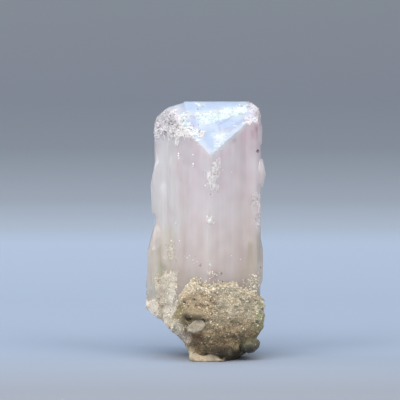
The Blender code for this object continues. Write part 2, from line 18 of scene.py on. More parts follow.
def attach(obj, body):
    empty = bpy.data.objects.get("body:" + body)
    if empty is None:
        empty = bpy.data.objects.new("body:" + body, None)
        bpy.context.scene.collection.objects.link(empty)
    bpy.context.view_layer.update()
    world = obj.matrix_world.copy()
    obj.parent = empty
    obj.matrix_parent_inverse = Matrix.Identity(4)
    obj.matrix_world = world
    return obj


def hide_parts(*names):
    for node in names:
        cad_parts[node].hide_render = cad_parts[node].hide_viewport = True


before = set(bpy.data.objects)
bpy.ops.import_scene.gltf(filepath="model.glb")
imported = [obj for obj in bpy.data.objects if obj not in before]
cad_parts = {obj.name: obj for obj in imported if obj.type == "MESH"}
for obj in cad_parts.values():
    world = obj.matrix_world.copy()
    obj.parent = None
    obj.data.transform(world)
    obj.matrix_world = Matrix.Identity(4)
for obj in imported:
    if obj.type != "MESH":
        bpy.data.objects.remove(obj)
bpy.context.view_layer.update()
print("nodes:", sorted(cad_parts))

# %% [markdown]
# ## Units and colours
# Blender's unit is the metre, but a mineral is easier to think of in millimetres. So every size below is
# in millimetres, and `MM` turns it into metres at the last moment. Colours are written as on the web, and
# one function turns them into the linear numbers that shaders and lights use.

# %% Millimetres and linear colours
MM = 0.001


def linear(code):
    """The linear colour of a web colour such as #808080."""
    channels = [int(code[i : i + 2], 16) / 255 for i in (1, 3, 5)]
    return np.array([c / 12.92 if c <= 0.04045 else ((c + 0.055) / 1.055) ** 2.4 for c in channels])


print("mid grey is", linear("#808080").round(3))

# %% [markdown]
# ## Selecting and modifying
# An operator acts on all that is selected, as it does when one works by hand. So one helper selects one
# object alone, and another adds a modifier, sets it and applies it.

# %% Helpers for objects


def take(piece):
    """Selects one object alone and makes it the active one."""
    bpy.ops.object.select_all(action="DESELECT")
    piece.select_set(True)
    bpy.context.view_layer.objects.active = piece


def apply_modifier(piece, kind, **settings):
    """Adds a modifier, sets it and applies it at once."""
    take(piece)
    step = piece.modifiers.new(kind.lower(), kind)
    for name, value in settings.items():
        setattr(step, name, value)
    bpy.ops.object.modifier_apply(modifier=step.name)


def shade_softly(piece):
    """Lets the light run evenly over the piece's faces."""
    take(piece)
    bpy.ops.object.shade_smooth()


def finish_piece(piece, finish):
    """Gives a piece its finish and fixes it to the specimen."""
    piece.data.materials.append(finish)
    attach(piece, "root")
    print(piece.name, len(piece.data.vertices), "points", len(piece.data.polygons), "faces")


bpy.ops.object.select_all(action="DESELECT")
print("selected now:", len(bpy.context.selected_objects))

# %% [markdown]
# ## Points as arrays
# A mineral's skin has tens of thousands of points, too many to push by hand. Numpy moves them all at once:
# the points come out as an array of millimetres, are pushed along their normals, and go back.

# %% Helpers for points


def points_of(piece):
    """The mesh's points in millimetres, one row for each."""
    flat = np.empty(len(piece.data.vertices) * 3)
    piece.data.vertices.foreach_get("co", flat)
    return flat.reshape(-1, 3) / MM


def normals_of(piece):
    """The way in which the skin faces at each point."""
    flat = np.empty(len(piece.data.vertices) * 3)
    piece.data.vertices.foreach_get("normal", flat)
    return flat.reshape(-1, 3)


def put_points(piece, points):
    """Moves the mesh's points to these places, given in millimetres."""
    piece.data.vertices.foreach_set("co", (points * MM).ravel())
    piece.data.update()


def push_skin(piece, distances):
    """Moves every point of a mesh along its normal, but never below the floor."""
    moved = points_of(piece) + normals_of(piece) * distances[:, None]
    moved[:, 2] = np.maximum(moved[:, 2], 0.0)
    put_points(piece, moved)


def keep_values(piece, name, values):
    """Stores one number at each point, where a material can read it."""
    piece.data.attributes.new(name, "FLOAT", "POINT").data.foreach_set("value", values)


def keep_tints(piece, tints):
    """Stores a linear colour at each point, where a material can read it."""
    rows = np.column_stack((tints, np.ones(len(tints))))
    piece.data.attributes.new("tint", "FLOAT_COLOR", "POINT").data.foreach_set("color", rows.ravel())


print("packed crystal:", len(points_of(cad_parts["danburite_crystal"])), "points")

# %% [markdown]
# ## Noise and soft patches
# Nature repeats nothing exactly. Smooth noise with lumps of a chosen size gives the waves, streaks and
# ragged borders. Patches are drawn as outlines seen from the front, as x and height, or as soft balls.
# Both could be painted by hand, but numbers keep every patch where it was measured.

# %% Helpers for noise
NOISE_START = np.array((7.3, 3.1, 5.7))
NOISE_GAIN = 1.6


def lumps(points, size, seed):
    """Noise from about -1 to 1 with lumps of the given size: one number, or one for each axis. The seed
    picks another stretch of the same noise."""
    shifted = points / size + NOISE_START * (seed + 1)
    return np.array([noise.noise(point) for point in shifted.tolist()]) * NOISE_GAIN


def ramp(values, start, end):
    """0 before the start, 1 after the end, and an even slope between."""
    return np.clip((values - start) / (end - start), 0.0, 1.0)


print("noise at three places", lumps(np.eye(3), 2.0, 0).round(2))

# %% [markdown]
# A patch is measured by how deep a point lies inside its outline, so that its border can be soft, and can
# wander when noise is added to the depth.

# %% Helpers for patches
FRONT_LIMIT = 1.0


def near(points, centre, reach):
    """1 at the middle of a soft ball, falling to 0 at its reach along each axis."""
    away = np.linalg.norm((points - np.array(centre)) / np.array(reach), axis=1)
    part = np.clip(1.0 - away, 0.0, 1.0)
    return part * part * (3 - 2 * part)


def box(x0, z0, x1, z1):
    """The outline of a rectangle between two opposite corners."""
    return [(x0, z0), (x1, z0), (x1, z1), (x0, z1)]


def off_line(flat, start, end):
    """How far points of a plane are from a straight line between two places."""
    side = end - start
    share = np.clip(((flat - start) @ side) / (side @ side), 0.0, 1.0)
    return np.linalg.norm(flat - start - share[:, None] * side, axis=1)


def depth_inside(flat, outline):
    """How far points of a plane lie inside an outline. Outside it the number is negative."""
    corners = np.array(outline, dtype=float)
    nearest = np.full(len(flat), np.inf)
    crossings = np.zeros(len(flat), dtype=int)
    for start, end in zip(corners, np.roll(corners, -1, axis=0)):
        side = end - start
        nearest = np.minimum(nearest, off_line(flat, start, end))
        if side[1]:
            spans = (start[1] > flat[:, 1]) != (end[1] > flat[:, 1])
            crossings += spans & (flat[:, 0] < start[0] + (flat[:, 1] - start[1]) * side[0] / side[1])
    return np.where(crossings % 2 == 1, nearest, -nearest)


def on_front(points, outline, soft, wander):
    """1 inside an outline of x and height on the front side, with a ragged, soft border."""
    depth = depth_inside(points[:, [0, 2]], outline) + wander
    return ramp(depth, -soft, soft) * (points[:, 1] < FRONT_LIMIT)


print("depths in a square", depth_inside(np.array([(1.0, 1.0), (3.0, 1.0)]), box(0, 0, 2, 2)))

# %% [markdown]
# ## Camera
# The specimen is seen straight towards its front edge, from four degrees above. A long lens from 65 cm
# keeps the crystal's sides nearly parallel. It is worked out from how wide the picture is at the crystal.

# %% Camera
# Width of the picture, in millimetres, at the distance of the crystal
PICTURE_WIDTH = 93.44
CAMERA_RISE = math.radians(4.0)
CAMERA_DISTANCE = 650.0
LOOK_AT = Vector((-1.5, 0.0, 37.0))
SENSOR = 36.0

lens = bpy.data.cameras.new("camera")
lens.sensor_width = SENSOR
lens.lens = SENSOR * CAMERA_DISTANCE / PICTURE_WIDTH
camera = bpy.data.objects.new("camera", lens)
bpy.context.scene.collection.objects.link(camera)
sight = Vector((0.0, math.cos(CAMERA_RISE), -math.sin(CAMERA_RISE)))
camera.location = (LOOK_AT - sight * CAMERA_DISTANCE) * MM
camera.rotation_euler = sight.to_track_quat("-Z", "Y").to_euler()
bpy.context.scene.camera = camera
bpy.context.scene.view_settings.view_transform = "Standard"
print("lens", round(lens.lens, 1), "mm")

# %% [markdown]
# ## Adding shader nodes
# A material is a small machine of nodes. One function adds a node, sets it, links it and gives back one
# of its outputs, so that each material below reads from top to bottom.

# %% One function for all nodes


def node(tree, kind, inputs=None, out=0, stops=None, **settings):
    """Adds a shader node of a kind such as Mix. An input given as a socket is linked, any other is set."""
    made = tree.nodes.new("ShaderNode" + kind)
    for name, value in settings.items():
        setattr(made, name, value)
    for key, value in (inputs or {}).items():
        if isinstance(value, bpy.types.NodeSocket):
            tree.links.new(value, made.inputs[key])
        else:
            made.inputs[key].default_value = value
    for i, (place, code) in enumerate(stops or []):
        stop = made.color_ramp.elements[i] if i < 2 else made.color_ramp.elements.new(place)
        stop.position = place
        stop.color = (*linear(code), 1.0)
    return made.outputs[out]


def set_inputs(shader, values):
    """Sets the shader's plain inputs."""
    for name, value in values.items():
        shader.inputs[name].default_value = value


def new_material(name):
    """A material with its nodes, its shader and the place of each point in millimetres."""
    made = bpy.data.materials.new(name)
    made.use_nodes = True
    tree = made.node_tree
    place = node(tree, "TexCoord", out="Object")
    in_mm = node(tree, "VectorMath", {0: place, "Scale": 1 / MM}, operation="SCALE")
    return made, tree, tree.nodes["Principled BSDF"], in_mm


print("materials so far:", len(bpy.data.materials))

# %% [markdown]
# ## Backdrop
# The specimen stands on matt paper that sweeps up behind it, so no line shows between floor and wall. It
# is a plane whose far edge is spun upwards about a level axis and then extruded. The paper is pale blue,
# and it is painted darker up the wall and towards the camera: painted shade where less light reaches.

# %% Backdrop shape
PAPER_SIZE = 3000.0
SWEEP_START = 300.0
SWEEP_RADIUS = 250.0
SWEEP_STEPS = 16
WALL_HEIGHT = 1500.0

middle = (0.0, (SWEEP_START - PAPER_SIZE / 2) * MM, 0.0)
bpy.ops.mesh.primitive_plane_add(size=PAPER_SIZE * MM, location=middle)
backdrop = bpy.context.object
backdrop.name = "backdrop"
bpy.ops.object.transform_apply(location=True)
# Only the far edge is selected before it is spun.
for vert in backdrop.data.vertices:
    vert.select = vert.co.y > (SWEEP_START - 1) * MM
for edge in backdrop.data.edges:
    edge.select = all(backdrop.data.vertices[i].select for i in edge.vertices)
for face in backdrop.data.polygons:
    face.select = False
bpy.ops.object.mode_set(mode="EDIT")
bpy.ops.mesh.spin(
    steps=SWEEP_STEPS,
    angle=-math.pi / 2,
    center=(0.0, SWEEP_START * MM, SWEEP_RADIUS * MM),
    axis=(1.0, 0.0, 0.0),
)
bpy.ops.mesh.extrude_region_move(TRANSFORM_OT_translate={"value": (0.0, 0.0, WALL_HEIGHT * MM)})
bpy.ops.mesh.select_all(action="SELECT")
bpy.ops.mesh.normals_make_consistent(inside=False)
bpy.ops.object.mode_set(mode="OBJECT")
bpy.ops.object.shade_smooth()
print("backdrop", [round(d, 2) for d in backdrop.dimensions], "m")

# %% [markdown]
# The paper is uncoated, so it is rough and shows no gloss. Its pale blue is painted darker towards the
# camera along the floor and upwards on the wall, as painted shade. Two colour ramps hold those changes.

# %% Backdrop paper
SHADED_HEIGHT = 90.0
FLOOR_REACH = 300.0
PAPER_ROUGHNESS = 0.9
# Pale blue paper with painted shade: darker near the camera on the floor and higher up the wall
FLOOR_TONE_AND_SHADE = [(0.0, "#878c96"), (0.408, "#9096a1"), (0.523, "#99a6b9"), (0.712, "#a0aec3"), (1.0, "#b4c4da")]
WALL_TONE_AND_SHADE = [
    (0.0, "#b4c4da"), (0.037, "#a9b5c6"), (0.122, "#949daa"), (0.311, "#7a828d"), (0.5, "#747a86"),
    (0.944, "#767d86"),
]

paper, tree, shader, in_mm = new_material("matt_backdrop_paper")
height = node(tree, "SeparateXYZ", {0: in_mm}, out=2)
depth = node(tree, "SeparateXYZ", {0: in_mm}, out=1)
climb = node(tree, "MapRange", {0: height, 2: SHADED_HEIGHT})
recede = node(tree, "MapRange", {0: depth, 1: -FLOOR_REACH, 2: FLOOR_REACH})
floor_colour = node(tree, "ValToRGB", {0: recede}, stops=FLOOR_TONE_AND_SHADE)
wall_colour = node(tree, "ValToRGB", {0: climb}, stops=WALL_TONE_AND_SHADE)
is_wall = node(tree, "MapRange", {0: height, 2: 1.0})
paper_colour = node(
    tree, "Mix", {0: is_wall, 6: floor_colour, 7: wall_colour}, data_type="RGBA", out=2
)
tree.links.new(paper_colour, shader.inputs["Base Color"])
set_inputs(shader, {"Roughness": PAPER_ROUGHNESS})
backdrop.data.materials.append(paper)
print(paper.name, len(tree.nodes), "nodes")

# %% [markdown]
# ## Lights
# Broad, soft panels stand on both sides and in front, so that no hard shadow falls. One bluish panel hangs
# over the specimen. The roof face of the crystal leans back by 44 degrees, so it mirrors just that panel
# to the camera and looks pale blue, as it does in daylight from a skylight.

# %% Lights


def panel(name, place, aim, size, radiance, code):
    """A square soft light. Its brightness is the glow of its surface, whatever its size."""
    light = bpy.data.lights.new(name, "AREA")
    light.size = size * MM
    light.energy = radiance * math.pi * light.size**2
    light.color = linear(code)
    made = bpy.data.objects.new(name, light)
    made.location = Vector(place) * MM
    made.rotation_euler = (Vector(aim) - Vector(place)).to_track_quat("-Z", "Y").to_euler()
    bpy.context.scene.collection.objects.link(made)


MIDDLE = (0.0, 0.0, 30.0)
SKY_BLUE = "#86c6ff"
NEUTRAL = "#fffaf6"
panel("overhead_panel", (-40, -20, 600), (0, 0, 0), 260, 3.9, SKY_BLUE)
panel("left_panel", (-520, -500, 700), MIDDLE, 500, 5.6, NEUTRAL)
panel("right_panel", (560, -460, 700), MIDDLE, 500, 4.7, NEUTRAL)
panel("front_panel", (0, -600, 680), MIDDLE, 500, 4.4, NEUTRAL)
panel("left_side_panel", (-880, 100, 420), MIDDLE, 450, 2.2, NEUTRAL)

ROOM_COLOUR = "#fcfaf2"
ROOM_GLOW = 0.53
world = bpy.data.worlds.new("studio")
world.use_nodes = True
sky = world.node_tree.nodes["Background"]
set_inputs(sky, {"Color": (*linear(ROOM_COLOUR), 1.0), "Strength": ROOM_GLOW})
bpy.context.scene.world = world
print("lights", [light.name for light in bpy.data.lights])

# %% [markdown]
# ## Danburite
# Danburite is a glassy calcium borosilicate. This crystal is milky with tiny healed cracks, so light both
# passes through it and scatters inside it. Half transmission with an absorption tint gives the depth, and
# the other half is subsurface scattering, which gives the soft pink body. The same mineral where it is
# etched hardly lets light pass: there it is white, rough and full of tiny facets, drawn as Voronoi cells.

# %% Danburite finish
# Settings of a Mix node that multiplies two colours
MULTIPLY = {"data_type": "RGBA", "blend_type": "MULTIPLY", "out": 2}
DANBURITE_IOR = 1.63
GLASSY_ROUGHNESS = 0.2
ETCHED_ROUGHNESS = 0.42
# Sizes of the patterns, in millimetres. The scratches are far finer on the real faces, and are drawn this
# coarse so that they show.
STREAK_WIDTH = 1.1
STREAK_STRETCH = 0.05
FACET_SIZE = 0.34
SCRATCH_WIDTH = 0.35
STREAK_GREY = "#d9cfd6"
# How far red, green and blue light spread inside, compared with each other
PINK_GLOW = (1.0, 0.92, 0.95)
# Painted light and shade of the etched facets: each Voronoi cell is a facet, lit white or shaded grey
FACET_LIGHT_AND_SHADE = [(0.0, "#b3aba8"), (0.14, "#dedadb"), (0.35, "#f4f3f5"), (0.65, "#ffffff")]


def danburite(name, transmission, glow_depth):
    """Milky danburite, which turns dull and faceted where the frost is thick."""
    made, tree, shader, in_mm = new_material(name)
    tint = node(tree, "Attribute", attribute_name="tint")
    frost = node(tree, "Attribute", out="Fac", attribute_name="frost")
    relief = node(tree, "Attribute", out="Fac", attribute_name="relief")
    along_c = node(tree, "VectorMath", {0: in_mm, 1: (1, 1, STREAK_STRETCH)}, operation="MULTIPLY")
    streaks = node(tree, "TexNoise", {"Vector": along_c, "Scale": 1 / STREAK_WIDTH, "Detail": 3.0})
    streak_share = node(tree, "MapRange", {0: streaks, 1: 0.35, 2: 0.7, 4: 0.08})
    grey = (*linear(STREAK_GREY), 1.0)
    body = node(tree, "Mix", {0: streak_share, 6: tint, 7: grey}, **MULTIPLY)
    cells = node(tree, "TexVoronoi", {"Vector": in_mm, "Scale": 1 / FACET_SIZE}, out="Color")
    chance = node(tree, "SeparateColor", {0: cells})
    facets = node(tree, "ValToRGB", {0: chance}, stops=FACET_LIGHT_AND_SHADE)
    etched = node(tree, "Mix", {0: 1.0, 6: tint, 7: facets}, **MULTIPLY)
    skin = node(tree, "Mix", {0: frost, 6: body, 7: etched}, data_type="RGBA", out=2)
    tree.links.new(skin, shader.inputs["Base Color"])
    rough = node(tree, "MapRange", {0: frost, 3: GLASSY_ROUGHNESS, 4: ETCHED_ROUGHNESS})
    tree.links.new(rough, shader.inputs["Roughness"])
    scratches = node(tree, "TexNoise", {"Vector": along_c, "Scale": 1 / SCRATCH_WIDTH, "Detail": 2.0})
    soft = node(tree, "Bump", {"Strength": 0.2, "Distance": 0.04 * MM, "Height": scratches})
    domes = node(tree, "TexVoronoi", {"Vector": in_mm, "Scale": 1 / FACET_SIZE}, out="Distance")
    cut = node(tree, "Math", {0: domes, 1: relief}, operation="MULTIPLY")
    bump = node(tree, "Bump", {"Strength": 0.6, "Distance": 0.22 * MM, "Height": cut, "Normal": soft})
    tree.links.new(bump, shader.inputs["Normal"])
    set_inputs(shader, {"IOR": DANBURITE_IOR, "Transmission Weight": transmission, "Subsurface Weight": 1.0})
    set_inputs(shader, {"Subsurface Radius": PINK_GLOW, "Subsurface Scale": glow_depth * MM})
    return made, tree


ABSORPTION = {"Color": (0.97, 0.86, 0.89, 1.0), "Density": 12.0}
milky, tree = danburite("milky_danburite", 0.5, 5.0)
fade = node(tree, "VolumeAbsorption", ABSORPTION)
tree.links.new(fade, tree.nodes["Material Output"].inputs["Volume"])
etched_finish = danburite("etched_danburite", 0.12, 1.2)[0]
print(milky.name, len(tree.nodes), "nodes")

# %% [markdown]
# ## The crystal's skin
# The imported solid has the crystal's real form in large flat faces. A copy of it is remeshed into small
# quads of about a quarter of a millimetre, in the mode that keeps sharp edges, so that noise can shape it.
# A subdivision would also give more points, but it would round the edges.

# %% Copy the crystal
REMESH_DEPTH = 8
REMESH_SCALE = 0.86


def solid_copy(node_name, name):
    """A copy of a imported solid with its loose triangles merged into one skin."""
    made = bpy.data.objects.new(name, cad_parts[node_name].data.copy())
    bpy.context.scene.collection.objects.link(made)
    made.data.materials.clear()
    take(made)
    bpy.ops.object.mode_set(mode="EDIT")
    bpy.ops.mesh.select_all(action="SELECT")
    bpy.ops.mesh.remove_doubles(threshold=0.001 * MM)
    bpy.ops.object.mode_set(mode="OBJECT")
    return made


crystal = solid_copy("danburite_crystal", "milky_crystal")
cells = {"mode": "SHARP", "octree_depth": REMESH_DEPTH, "scale": REMESH_SCALE}
apply_modifier(crystal, "REMESH", use_remove_disconnected=True, **cells)
print("crystal skin", len(crystal.data.vertices), "points")

# %% [markdown]
# The front of the roof is a plane that leans back from the ridge. Patches on it are measured by x and by
# the distance down the roof, as on a sheet of paper that lies on it.

# %% Roof plane
ROOF_RISE = 7.73
ROOF_RUN = 8.04
ROOF_SLOPE = math.atan2(ROOF_RISE, ROOF_RUN)
ROOF_POINT = np.array((0.0, 0.0, 59.7))
ROOF_WAY = np.array((0.0, -math.sin(ROOF_SLOPE), math.cos(ROOF_SLOPE)))
ROOF_OUTLINE = [(-6.2, -0.5), (-6.2, 6.8), (1.5, 16.6), (9.0, 7.1), (9.8, -0.5)]


def on_roof_of(points):
    """Places on the front roof face: x, and the distance down the roof from its ridge."""
    return np.column_stack((points[:, 0], -points[:, 1] / math.cos(ROOF_SLOPE)))


def below_roof_of(points):
    """How far points lie below the plane of the front roof face."""
    return -((points - ROOF_POINT) @ ROOF_WAY)


print("roof leans back by", round(math.degrees(ROOF_SLOPE), 1), "degrees")

# %% [markdown]
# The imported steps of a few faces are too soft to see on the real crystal: those of the two broad front
# faces, of both roof faces, of the flanks and of a shoulder at the left. Each of these places becomes a
# group of points, and a Smooth modifier works on that group alone.

# %% Soften some faces
ROOF_MARGIN = 0.8
BACK_ROOF_MARGIN = 1.4
ROOF_SKIN = 1.2
PRISM_TOP = 0.5
PRISM_FRONT = -3.5
PRISM_SIDES = (-6.2, 8.8)
# Middle and half width of each flank, in x
LEFT_FLANK = (-9.6, 2.9)
RIGHT_FLANK = (10.6, 1.4)
FLANK_HEIGHTS = (12, 52)
SHOULDER_EDGE = -11.2
SHOULDER_HEIGHTS = (25.5, 32.5)

raw_at = points_of(crystal)
x, y, z = raw_at.T
below_roof = below_roof_of(raw_at)
inner_roof = depth_inside(on_roof_of(raw_at), ROOF_OUTLINE) > ROOF_MARGIN
inner_back = depth_inside(on_roof_of(raw_at * (1.0, -1.0, 1.0)), ROOF_OUTLINE) > BACK_ROOF_MARGIN
back_plane = ROOF_POINT[2] - y * math.tan(ROOF_SLOPE)
prism = (below_roof > PRISM_TOP) & (y < PRISM_FRONT) & (x > PRISM_SIDES[0]) & (x < PRISM_SIDES[1])
flanks = (np.abs(x - LEFT_FLANK[0]) < LEFT_FLANK[1]) | (np.abs(x - RIGHT_FLANK[0]) < RIGHT_FLANK[1])
flanks &= (z > FLANK_HEIGHTS[0]) & (z < FLANK_HEIGHTS[1]) & (y < FRONT_LIMIT)
left_shoulder = (x < SHOULDER_EDGE) & (z > SHOULDER_HEIGHTS[0]) & (z < SHOULDER_HEIGHTS[1])
for name, members, turns in (
    ("broad_faces", prism, 36),
    ("roof", inner_roof & (below_roof < ROOF_SKIN) & (y < -0.6), 12),
    ("back_roof", inner_back & (y > 0.8) & (z > back_plane - ROOF_SKIN), 12),
    ("flanks", flanks, 120),
    ("left_shoulder", left_shoulder, 200),
):
    crystal.vertex_groups.new(name=name).add(np.flatnonzero(members).tolist(), 1.0, "REPLACE")
    apply_modifier(crystal, "SMOOTH", factor=0.5, iterations=turns, vertex_group=name)
    print(name, int(members.sum()), "points smoothed")
crystal.vertex_groups.clear()

# %% [markdown]
# ## Where the crystal is etched
# The left corner of the roof is eaten into a white, sparkling mass. Thinner frost lies in bands and chips
# on the roof, along the front edge, and on the lower left, where the crystal was broken and healed. The
# roof's patches are outlines of x and the distance down the roof, and the others are x and height.

# %% Etched patches
ROOF_FROST = {
    "band": [
        (-2.4, 3.6), (2.4, 2.5), (6.0, 1.6), (9.6, 0.9), (9.9, 2.4), (7.8, 3.9), (4.8, 5.0), (1.4, 6.4),
        (-1.8, 6.8),
    ],
    "crest_chip": [(-2.7, 0.2), (-0.3, 0.3), (-0.6, 1.3), (-1.9, 1.5)],
    "left_patch": [(-6.2, 3.2), (-3.9, 3.1), (-3.8, 4.5), (-6.0, 4.9)],
    "left_low_patch": [(-6.6, 5.4), (-4.6, 5.4), (-3.4, 7.6), (-1.2, 10.2), (-2.4, 10.4), (-5.4, 7.6)],
    "dash": [(-3.1, 8.9), (-0.2, 8.9), (-0.9, 10.1), (-2.7, 10.0)],
    "edge_patch": [(1.2, 9.7), (3.3, 9.5), (5.2, 9.0), (4.4, 11.2), (3.0, 13.6), (1.9, 14.9), (2.1, 12.4)],
    "small_chip": [(5.9, 6.8), (6.7, 6.7), (6.6, 7.7), (6.0, 7.6)],
}
FRONT_FROST = {
    "worn_corner": (
        1.0,
        [
            (-12.4, 51.6), (-12.4, 56.2), (-11.3, 57.6), (-9.4, 58.0), (-7.1, 57.6), (-5.9, 56.4),
            (-4.5, 55.4), (-3.1, 54.4), (-1.7, 53.5), (-0.3, 52.4), (-2.0, 51.9), (-2.8, 52.7),
            (-3.6, 51.3), (-4.4, 52.4), (-5.0, 51.0), (-5.9, 52.4), (-6.6, 50.2), (-7.2, 50.1),
            (-7.8, 52.3), (-8.5, 50.8), (-9.3, 52.5), (-9.9, 51.0), (-10.5, 52.6), (-11.2, 51.2),
        ],
    ),
    "right_tip": (0.9, [(9.7, 59.8), (10.9, 59.7), (12.4, 58.3), (12.7, 56.8), (11.6, 56.5), (10.4, 57.7)]),
    "right_ledge": (1.0, [(9.0, 55.9), (9.9, 56.5), (11.6, 56.2), (11.8, 55.5), (9.7, 55.4)]),
    "edge_sparkle": (
        1.0,
        [
            (1.1, 47.0), (2.9, 46.7), (3.2, 44.9), (2.7, 43.0), (1.8, 41.8), (0.4, 42.3), (0.3, 43.7),
            (1.1, 44.4),
        ],
    ),
    "edge_sparkle_low": (1.0, [(0.3, 41.6), (2.0, 41.4), (1.8, 40.2), (1.1, 39.0), (0.4, 40.2)]),
    "edge_dot": (0.8, [(0.2, 33.5), (1.3, 33.6), (1.2, 32.7), (0.3, 32.6)]),
    "right_chips": (0.5, [(10.6, 38.7), (12.2, 39.0), (12.4, 37.3), (11.8, 35.9), (10.6, 36.4)]),
    "right_streaks": (0.35, [(10.8, 33.5), (12.6, 34.0), (12.8, 30.3), (11.1, 30.0)]),
    "flank_chips": (0.5, [(-9.6, 26.9), (-7.3, 26.9), (-7.1, 23.4), (-8.3, 23.0), (-9.4, 23.7)]),
    "flank_sugar": (
        0.7, [(-12.0, 19.4), (-9.7, 20.1), (-7.2, 20.1), (-6.9, 12.0), (-11.0, 12.6), (-11.9, 15.0)]
    ),
    "healed_break": (
        0.75, [(-14.2, 13.2), (-12.0, 13.6), (-9.8, 12.9), (-7.0, 13.4), (-6.0, 4.0), (-14.2, 4.0)]
    ),
}
# Soft balls on the back: middle, reach and strength
BACK_FROST = [
    ((-9.5, 3.5, 55.5), (4.0, 4.5, 3.0), 1.3),
    ((2.0, 11.5, 46.0), (1.4, 2.0, 5.0), 1.0),
    ((10.5, 4.6, 54.6), (2.2, 2.4, 1.6), 1.2),
    ((-9.0, 4.5, 12.5), (5.0, 4.5, 6.5), 1.1),
    ((3.5, 7.0, 55.0), (3.6, 3.0, 1.6), 0.9),
    ((6.0, 9.0, 22.0), (1.0, 2.0, 6.0), 0.8),
]

print("outlines of frost:", len(ROOF_FROST) + len(FRONT_FROST))

# %% [markdown]
# Noise makes each patch's border ragged. On the front it runs down like drips, because the mineral is
# etched along its length. Two arrays are kept: the frost whitens the skin, and the relief also dents it.

# %% Spread the frost
at = points_of(crystal)
out = normals_of(crystal)
fine = lumps(at, 0.5, 4)
medium = lumps(at, 1.1, 5)
drips = lumps(at, (0.7, 0.7, 3.2), 10)
on_roof = on_roof_of(at)
roof = ramp(depth_inside(on_roof, ROOF_OUTLINE), -0.2, 0.1) * ramp(-below_roof_of(at), -1.1, -0.8)
roof_streaks = lumps(at, (1.6, 0.55, 0.55), 6)
roof_frost = np.zeros(len(at))
for outline in ROOF_FROST.values():
    edge = depth_inside(on_roof, outline) + 0.6 * roof_streaks + 0.25 * fine
    roof_frost = np.maximum(roof_frost, ramp(edge, -0.3, 0.5) * roof * 0.9)
frost = np.zeros(len(at))
wander = 0.4 * medium + 0.3 * fine + 0.8 * drips
for strength, outline in FRONT_FROST.values():
    frost = np.maximum(frost, on_front(at, outline, 0.45, wander) * strength)
for centre, reach, strength in BACK_FROST:
    frost = np.maximum(frost, ramp(near(at, centre, reach) * strength + 0.25 * medium, 0.4, 0.65))
frost = np.clip(frost * (0.85 + 0.25 * fine), 0.0, 1.0)
relief = frost.copy()
frost = np.maximum(frost, roof_frost * (0.6 + 0.5 * fine)).clip(0.0, 1.0)
print("etched share", round(float(frost.mean()), 3))

# %% [markdown]
# ## Striations, steps and broken faces
# Prism faces of danburite carry fine lines along the crystal's length. The left flank shows them strongly
# and the front faces hardly at all. Etched patches are stepped, and the broken underside is in rough flat
# pieces, so their height is rounded to a few levels.

# %% Push the crystal's skin
FLANK_EDGE = (6.2, 7.4)
RIGHT_FLANK_EDGE = (9.2, 10.2)
# Steps in each unit of noise: for the etched patches and for the broken underside
ETCHED_STEPS = 2
BROKEN_STEPS = 1.5
SHARP_ANGLE = math.radians(28)


def stepped(values, steps):
    """Rounds values to a few levels."""
    return np.round(values * steps) / steps


side = 1.0 - ramp(np.abs(out[:, 2]), 0.25, 0.5)
flank = ramp(-at[:, 0], *FLANK_EDGE) + 0.6 * ramp(at[:, 0], *RIGHT_FLANK_EDGE)
flank = np.clip(flank + 0.35 * (at[:, 1] > FRONT_LIMIT), 0.0, 1.0)
streak = lumps(at, (0.55, 0.55, 12.0), 1)
band = lumps(at, (2.2, 2.2, 26.0), 2)
slow = lumps(at, 6.5, 3)
push = side * (0.003 + 0.03 * flank) * streak
push += side * (0.01 + 0.04 * flank) * band
push += 0.05 * slow * (1 - roof)
push += relief * (0.08 * fine + 0.1 * stepped(medium, ETCHED_STEPS))
push += roof * 0.01 * lumps(at, 1.8, 7)
broken = ramp(-at[:, 2] - 0.55 * at[:, 0], -12.5, -8.0) * (at[:, 0] < -2)
push += broken * 0.3 * stepped(lumps(at, 2.2, 9), BROKEN_STEPS)
push_skin(crystal, push)
take(crystal)
bpy.ops.object.shade_smooth_by_angle(angle=SHARP_ANGLE)
print("pushed by", push.min().round(2), "to", push.max().round(2), "mm")
